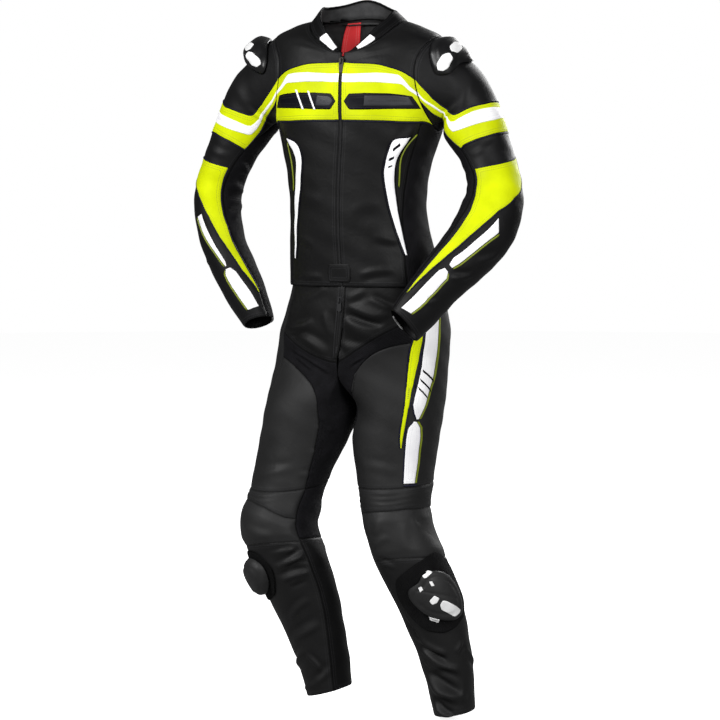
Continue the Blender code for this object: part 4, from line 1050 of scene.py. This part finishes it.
# %% Thigh stripes
THIGH_YELLOW = edges("""
    35.6 2.6 28.6 2.64   36.4 2.98 28.7 3.02   37.4 3.3 28.7 3.33   37.3 3.6 28.7 3.62
    37.2 3.86 29.2 3.9   38.6 4.1 31.3 4.12   41.6 4.31 34.9 4.33   46 4.52 39.5 4.53
    51 4.7 45.2 4.72   55.8 4.91 50.4 4.93   58.8 5.15 54 5.16   59.8 5.42 54.9 5.42
    59.2 5.7 54.8 5.7   58.2 5.95 54.9 5.95   56.8 6.16 55.6 6.16""")
THIGH_WHITE = [edges("""
    23.9 2.25 7.6 2.28   25.2 2.66 10 2.72   25.8 3.07 10.6 3.13   25.5 3.45 10.7 3.51
    25.2 3.8 11 3.86   26.2 4.06 12.4 4.12   28.7 4.27 14.8 4.33   32.6 4.47 17.8 4.52
    37.6 4.67 22 4.7   42.9 4.85 26.4 4.9   47 5.05 30 5.1   45 5.27 34.4 5.29
    40.4 5.46 37.6 5.46"""), edges("""
    43.6 5.51 39.8 5.53   50 5.67 33.4 5.7   50.2 5.87 31.3 5.9   50 6.08 30.8 6.1
    50.2 6.31 30.9 6.33   50 6.53 31.3 6.55   49.9 6.74 31.8 6.76   49.8 6.94 32.9 6.96""")]
THIGH_SLASH = edges("""
    26.2 4.15 15.6 4.46   30.6 4.38 20.4 4.7   35.2 4.59 26.6 4.86""")


def on_leg(side, strip):
    """The same stripe on either leg; on the right one it runs further back."""
    angle, row = np.moveaxis(strip, -1, 0)
    return strip if side == "left" else np.stack((angle - 40 - 16 * smooth((row - 3.8) / 1.1), row), -1)


for side in SIDE:
    kind, yellow, seat = "leg_" + side, on_leg(side, THIGH_YELLOW), f"seat_{side}_leather"
    patch(f"thigh_yellow_{side}", kind, between(yellow), bright_yellow)
    for number, off in enumerate((1.2, -1.2)):
        piping(f"thigh_piping_{side}_{number}", kind, yellow[:, number] + (off, 0), straight=True)
    for number, strip in enumerate(THIGH_WHITE):
        white = on_leg(side, strip)
        patch(f"thigh_white_{side}_{number}", kind, between(white), snow_white, cell=.003)
        beside = np.stack((white[:, 1] - (.9, 0), white[:, 1] - (3.9, 0)), 1)
        patch(f"thigh_line_{side}_{number}", kind, between(beside), dull_yellow, 0, .0006, .003)
        piping(f"thigh_edge_{side}_{number}", kind, white[:, 0] + (1.2, 0), radius=.0011, straight=True)
    piping("thigh_end_" + side, kind, white[-1] + ((1, .05), (-4, .05)), radius=.0019)
    for number, line in enumerate(THIGH_SLASH):
        slit = on_leg(side, np.stack((line, line + (0, .085)), 1))
        patch(f"thigh_slash_{side}_{number}", kind, between(slit), inset_black, 1, .0005, .0025)
print("stripes done:", len(made))

# %% [markdown]
# The collar is two layers of leather over a thin foam, so it is thicker than the
# rest and its top edge is round.  It stands on the neck seam and stays open in
# front, where two pale tabs close it.

# %% Collar, tabs and neck label
def part_round(first, span, low, high):
    """A band from one angle on and between two rows."""
    return lambda s, t: (first + span * np.asarray(s), low + (high - low) * np.asarray(t))


def lining_rows(s, t):
    """The lining starts low at the back, where it shows, and just above the seam in front."""
    angle = 6 + 348 * np.asarray(s)
    low = np.interp(angle, (0, 105, 145, 215, 255, 360), (.05, .05, -.45, -.45, .05, .05))
    return angle, low + (.93 - low) * np.asarray(t)


lay("collar_leather", "collar", part_round(3.2, 353.6, .01, 1), collar_black, .003, 0.0, .0035, .0004, .002)
lay("neck_lining_knit", "collar", lining_rows, lining_grey, .001, -.0034, .005, .0002, .002)
TAB = {"right": edges("""
    -12.2 .2 -11 .86   -12.8 .02 -10.6 1.06   -22.8 .19 -18.8 1.05   -33 .16 -27.6 .93
    -33.7 .28 -28.8 .8"""),
    "left": edges("""
    16.6 .14 15.2 .52   17 0 15 .66   26.5 .05 23 .8   35.6 .09 31.6 .78   36.2 .22 32.6 .64""")}
for side in SIDE:
    patch(f"collar_tab_{side}", "collar", between(TAB[side]), snow_white, cell=.0025)
lay("back_lining_knit", "torso", part_round(112, 136, 6.1, 8.94), lining_grey, .001, -.0030, .006, .0002,
    .002)
lay("neck_label_cloth", "torso", between(edges("199 6.25 216 6.3   197 8.55 217 8.6")), label_red, .0006,
    -.0046, .003, .0002, .001)

# %% [markdown]
# Hard parts: the shoulder cups and knee sliders are moulded shells.  A square
# grid rounded to a disc gives a dome with no pole, and a rim, a step and a few
# ribs come from lifting its points.


# %% Domes for cups and sliders
def shield(points, soften=14):
    """A net inside an outline of (angle, row) places, and the distance from its middle, 1 at the rim."""
    low, high = points.min(0), points.max(0)
    centre, reach = (low + high) / 2, (high - low) / 2
    q = (points - centre) / reach
    q = q[np.argsort(np.arctan2(q[:, 1], q[:, 0]))]
    bearing = np.arctan2(q[:, 1], q[:, 0])

    def rim(at):
        total = 0
        for more in np.radians(np.linspace(-soften, soften, 7)):
            b = (at + more + pi) % (2 * pi) - pi
            i = np.searchsorted(bearing, b) % len(q)
            (px, py), (x, y) = (np.moveaxis(v, -1, 0) for v in (q[i - 1], q[i] - q[i - 1]))
            total = total + (px * y - py * x) / (np.cos(b) * y - np.sin(b) * x)
        return total / 7

    def place(s, t):
        x, y = 2 * np.asarray(s) - 1, 2 * np.asarray(t) - 1
        u, v = x * np.sqrt(1 - y * y / 2), y * np.sqrt(1 - x * x / 2)
        far = rim(np.arctan2(v, u))
        return centre[0] + reach[0] * u * far, centre[1] + reach[1] * v * far

    def measure(angle, row):
        a, b = (angle - centre[0]) / reach[0], (row - centre[1]) / reach[1]
        return np.hypot(a, b) / rim(np.arctan2(b, a))
    return place, measure


def hard(name, kind, place, material, height, wall=.003, cell=.003, sink=.0022, soft=.004):
    """A moulded piece; height gives how far its outside stands off the form."""
    lay(name, kind, place, material, wall, 0.0, cell, sink, soft, pucker=0, cloth=False,
        relief=lambda angle, row, border: height(angle, row))


# %% Shoulder cups
CUP = {"right": places("""
    18 .19   36 .21   51 .25   66 .32   75 .39   74 .48   61 .58   42 .65   14 .7   -12 .68
    -30 .5   -24 .31   0 .21"""),
    "left": places("""
    34 .07   22 .09   0 .16   -20 .3   -26 .5   -12 .68   8 .73   38 .65   60 .68   69 .6   76 .48
    68 .37   52 .2""")}
CUP_RISE = {"right": (.0205, 3.6), "left": (.0125, 2.6)}    # height of the middle, and how flat it is
CUP_INSERTS = {"right": [places("""
    43 .54   42 .46   48 .395   60 .345   66 .365   67 .44   60 .51"""), places("""
    27 .535   24 .43   37 .335   41 .425   37.5 .5""")],
    "left": [places("""
    64 .41   50 .4   42 .46   45 .55   59 .59   67 .55   70 .47"""), places("""
    35 .39   21 .37   14 .45   22 .53   34 .54   39 .46""")]}
for side in SIDE:
    cup_place, cup_radius = shield(CUP[side], 9)

    def cup_height(angle, row, more=0):
        rho = np.clip(cup_radius(angle, row), 0, 1)
        rise, flat = CUP_RISE[side]
        return .0060 + rise * (1 - rho ** flat) + .0012 * smooth((.72 - rho) / .05) + more
    hard(f"shoulder_cup_{side}_shell", "arm_" + side, cup_place, cup_black, cup_height)
    for number, outline in enumerate(CUP_INSERTS[side]):
        hard(f"shoulder_insert_{side}_{number}", "arm_" + side, shield(outline, 10)[0], cup_white,
             lambda angle, row: cup_height(angle, row, .0010), .0014, .002, .0006, .0012)

# %% Knee sliders
BASE_SHAPE = {"right": places("""
    80 9   66 8.7   43 8.6   20 8.7   2 9   0 9.4   12 9.8   40 9.93   64 9.85   78 9.5   84 9.2"""),
    "left": places("""
    106 9.5   62 9.13   13 8.77   -4 9.03   -22 9.52   -20 10.03   4 10.42   29 10.65   55 10.77
    89 10.68   112 10.33   121 9.9""")}
PUCK_SHAPE = {"right": places("""
    72 9   60 8.82   43 8.76   26 8.86   14 9.1   12 9.4   22 9.66   40 9.74   58 9.68   70 9.45
    74 9.2"""),
    "left": places("""
    89 9.72   67 9.55   56 9.35   37 9.28   20 9.38   8 9.72   6 10.03   14 10.33   29 10.48
    51 10.47   70 10.38   85 10.17   93 9.95""")}
# height of the rim, more in the middle, how flat
PUCK_RISE = {"left": (.0115, .0085, 2.4), "right": (.0090, .0160, 5.0)}
KNEE_INSERTS = {"left": [places("""
    58.4 9.38   44.4 9.27   41.5 9.32   56.1 9.45"""), places("""
    52.6 9.52   48.5 9.52   48.5 9.63   52.6 9.63"""), places("""
    70.7 9.65   65.4 9.62   64.8 9.7   70.1 9.75"""), places("""
    63.1 9.97   53.8 9.85   49.1 9.93   54.3 10.03   61.3 10.07"""), places("""
    50.8 10.07   44.4 9.98   20.5 10.25   23.4 10.32   33.3 10.4   51.4 10.2"""), places("""
    71.8 10.35   57.8 10.45   60.8 10.53   74.2 10.45""")],
    "right": [places("""
    19 9.42   14 9.38   14 9.56   20 9.6   26 9.56"""), places("""
    16 9.02   14 9.12   18 9.12   20 9""")]}
for side in SIDE:
    kind = "leg_" + side
    puck_place, puck_radius = shield(PUCK_SHAPE[side], 9)

    def puck_height(angle, row):
        """A dome with a groove near its rim and another across its middle."""
        rho = np.clip(puck_radius(angle, row), 0, 1)
        across = smooth((.035 - np.abs(row - 9.83 + .006 * (angle - 50))) / .02) * (rho < .7)
        groove = smooth((.09 - np.abs(rho - .74)) / .05) + across
        rim, extra, flat = PUCK_RISE[side]
        return rim + extra * (1 - rho ** flat) - .0011 * groove

    def insert_height(angle, row):
        return np.where(puck_radius(angle, row) < 1.02, puck_height(angle, row), .0038) + .0011
    hard(f"knee_base_{side}_pad", kind, shield(BASE_SHAPE[side], 7)[0], hook_black,
         lambda angle, row: .0036 + 0 * angle, .0026, .0035, .0010, .002)
    hard(f"knee_puck_{side}_shell", kind, puck_place, puck_grey, puck_height, .0075, .0024)
    for number, outline in enumerate(KNEE_INSERTS[side]):
        hard(f"knee_insert_{side}_{number}", kind, shield(outline, 8)[0], cup_white, insert_height,
             .0012, .002, .0005, .001)
print("hard parts done:", len(made))

# %% [markdown]
# A zip is a tape with teeth.  The teeth are tiny boxes in two rows, one shape
# repeated along the opening.  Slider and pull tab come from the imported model,
# because the tab swings; here they only get their metal.


# %% Zips
TOOTH, PITCH, ZIP_DEPTH = .0034, .0013, .0020


def teeth(name, kind, rows):
    """Two rows of small boxes, one a pitch after the other."""
    line = skin(kind, 0 * rows, rows, -ZIP_DEPTH)[0]
    far = walked(line)
    bm = bmesh.new()
    for number, at in enumerate(np.arange(.001, far[-1], PITCH)):
        spot = Vector([np.interp(at, far, c) for c in line.T])
        spot.x += TOOTH * (.28 if number % 2 else -.28)
        cube = bmesh.ops.create_cube(bm, size=1)
        bmesh.ops.scale(bm, verts=cube["verts"], vec=(TOOTH * .62, PITCH, .0012))
        bmesh.ops.translate(bm, verts=cube["verts"], vec=spot)
    settle(put(name, into_mesh(bm, bpy.data.meshes.new(name))), zip_black)


for name, kind, half, tape, rows in (
        ("jacket_zip_", "torso", 1.85, np.linspace(.05, 7.0, 20), np.linspace(.05, 6.9, 200)),
        ("fly_zip_", "hips", 1.75, np.linspace(.9, 3.4, 12), np.linspace(.95, 3.35, 100))):
    lay(name + "tape", kind, between([((-half, row), (half, row)) for row in tape], True), zip_black, .0008,
        -.0026, sink=0, pucker=0)
    teeth(name + "teeth", kind, rows)
for node, material in (("jacket_slider", zip_metal), ("jacket_pull", zip_metal), ("fly_slider", zip_black),
                       ("fly_pull", zip_black)):
    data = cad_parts[node].data
    data.materials.clear()
    data.materials.append(material)
flap = edges("-13 .2 10 .2   -14.4 .34 11.6 .35   -13.8 .58 12 .6   -12 .71 10.4 .72")
patch("hem_flap", "torso", between(flap), torso_black, thick=.0012, cell=.003)
FLY = edges("""
    -3.2 .75 3.4 .75   -2.7 1.35 3.8 1.35   -3.8 1.8 3.2 1.8   -4.3 2.4 2.6 2.4
    -4.7 2.98 1.8 2.98   -4.9 3.42 -1.2 3.4""")
patch("fly_flap", "hips", between(FLY, True), yoke_black, 1, cell=.003)
piping("fly_line", "hips", FLY[:, 0] - (.3, 0), zip_black, .0016, .0012)
print("pieces in all:", len(made))

# %% [markdown]
# A plain white studio: a floor, three large soft lights and a pale surrounding.
# Black leather shows its creases by what it mirrors, so the surrounding is
# dimmer for reflections than for the camera.

# %% Floor, light and camera
def towards(place, target):
    """The turn that makes a lamp or a camera look at a target."""
    return (Vector(target) - Vector(place)).to_track_quat("-Z", "Y").to_euler()


def by_ray(tree, held, seen):
    """One strength for reflections and another for the camera."""
    ray = add(tree, "ShaderNodeLightPath").outputs["Is Camera Ray"]
    links = [("Value", ray), ("To Min", held), ("To Max", seen)]
    return ray, add(tree, "ShaderNodeMapRange", links).outputs["Result"]


bm = bmesh.new()
bmesh.ops.create_circle(bm, cap_ends=True, segments=96, radius=14)
bmesh.ops.translate(bm, verts=bm.verts[:], vec=(0, 0, cad_box[0][2] - .001))
floor = put("studio_floor", into_mesh(bm, bpy.data.meshes.new("studio_floor")))
pale, tree, shader = blank("studio_pale", (.86, .86, .86), .9, .1)
ray, strength = by_ray(tree, .06, .88)
speckled = mix(tree, noise(tree, 3.0, 2.0), (.85, .85, .85), (.87, .87, .87))
tree.links.new(mix(tree, ray, (.20, .20, .20), speckled), shader.inputs["Base Color"])
shader.inputs["Emission Color"].default_value = (1, 1, 1, 1)
tree.links.new(strength, shader.inputs["Emission Strength"])
floor.data.materials.append(pale)

world = bpy.data.worlds.new("studio")
bpy.context.scene.world = world
world.use_nodes = True
world.node_tree.nodes.clear()
strength = by_ray(world.node_tree, .11, 1.0)[1]
backdrop = add(world.node_tree, "ShaderNodeBackground", [("Color", (1, 1, 1, 1)), ("Strength", strength)])
add(world.node_tree, "ShaderNodeOutputWorld", [("Surface", backdrop.outputs[0])])

for name, place, target, size, power in (("key_light", (-1.5, -3.3, 1.5), (0, 0, -.6), 1.4, 158),
                                         ("fill_light", (3.0, -2.7, .8), (0, 0, -.65), 1.5, 98),
                                         ("back_light", (.9, 3.4, 1.0), (0, 0, -.6), 2.2, 130)):
    light = bpy.data.lights.new(name, "AREA")
    light.shape, light.size, light.energy = "DISK", size, power
    lamp = put(name, light)
    lamp.location, lamp.rotation_euler = place, towards(place, target)

AIM, DISTANCE, LENS, SENSOR = Vector((0, 0, -.636)), 4.2, 105, 36
turn, lift = radians(19), radians(4)
camera = put("camera", bpy.data.cameras.new("camera"))
camera.data.lens, camera.data.sensor_width = LENS, SENSOR
camera.location = AIM + DISTANCE * Vector((sin(turn) * cos(lift), -cos(turn) * cos(lift), sin(lift)))
camera.rotation_euler = towards(camera.location, AIM)
bpy.context.scene.camera = camera
bpy.context.scene.view_settings.view_transform = "Standard"

# %% Last measures
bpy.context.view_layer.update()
triangles = sum(len(p.vertices) - 2 for o in made.values() for p in o.data.polygons)
print("triangles before walls:", triangles)
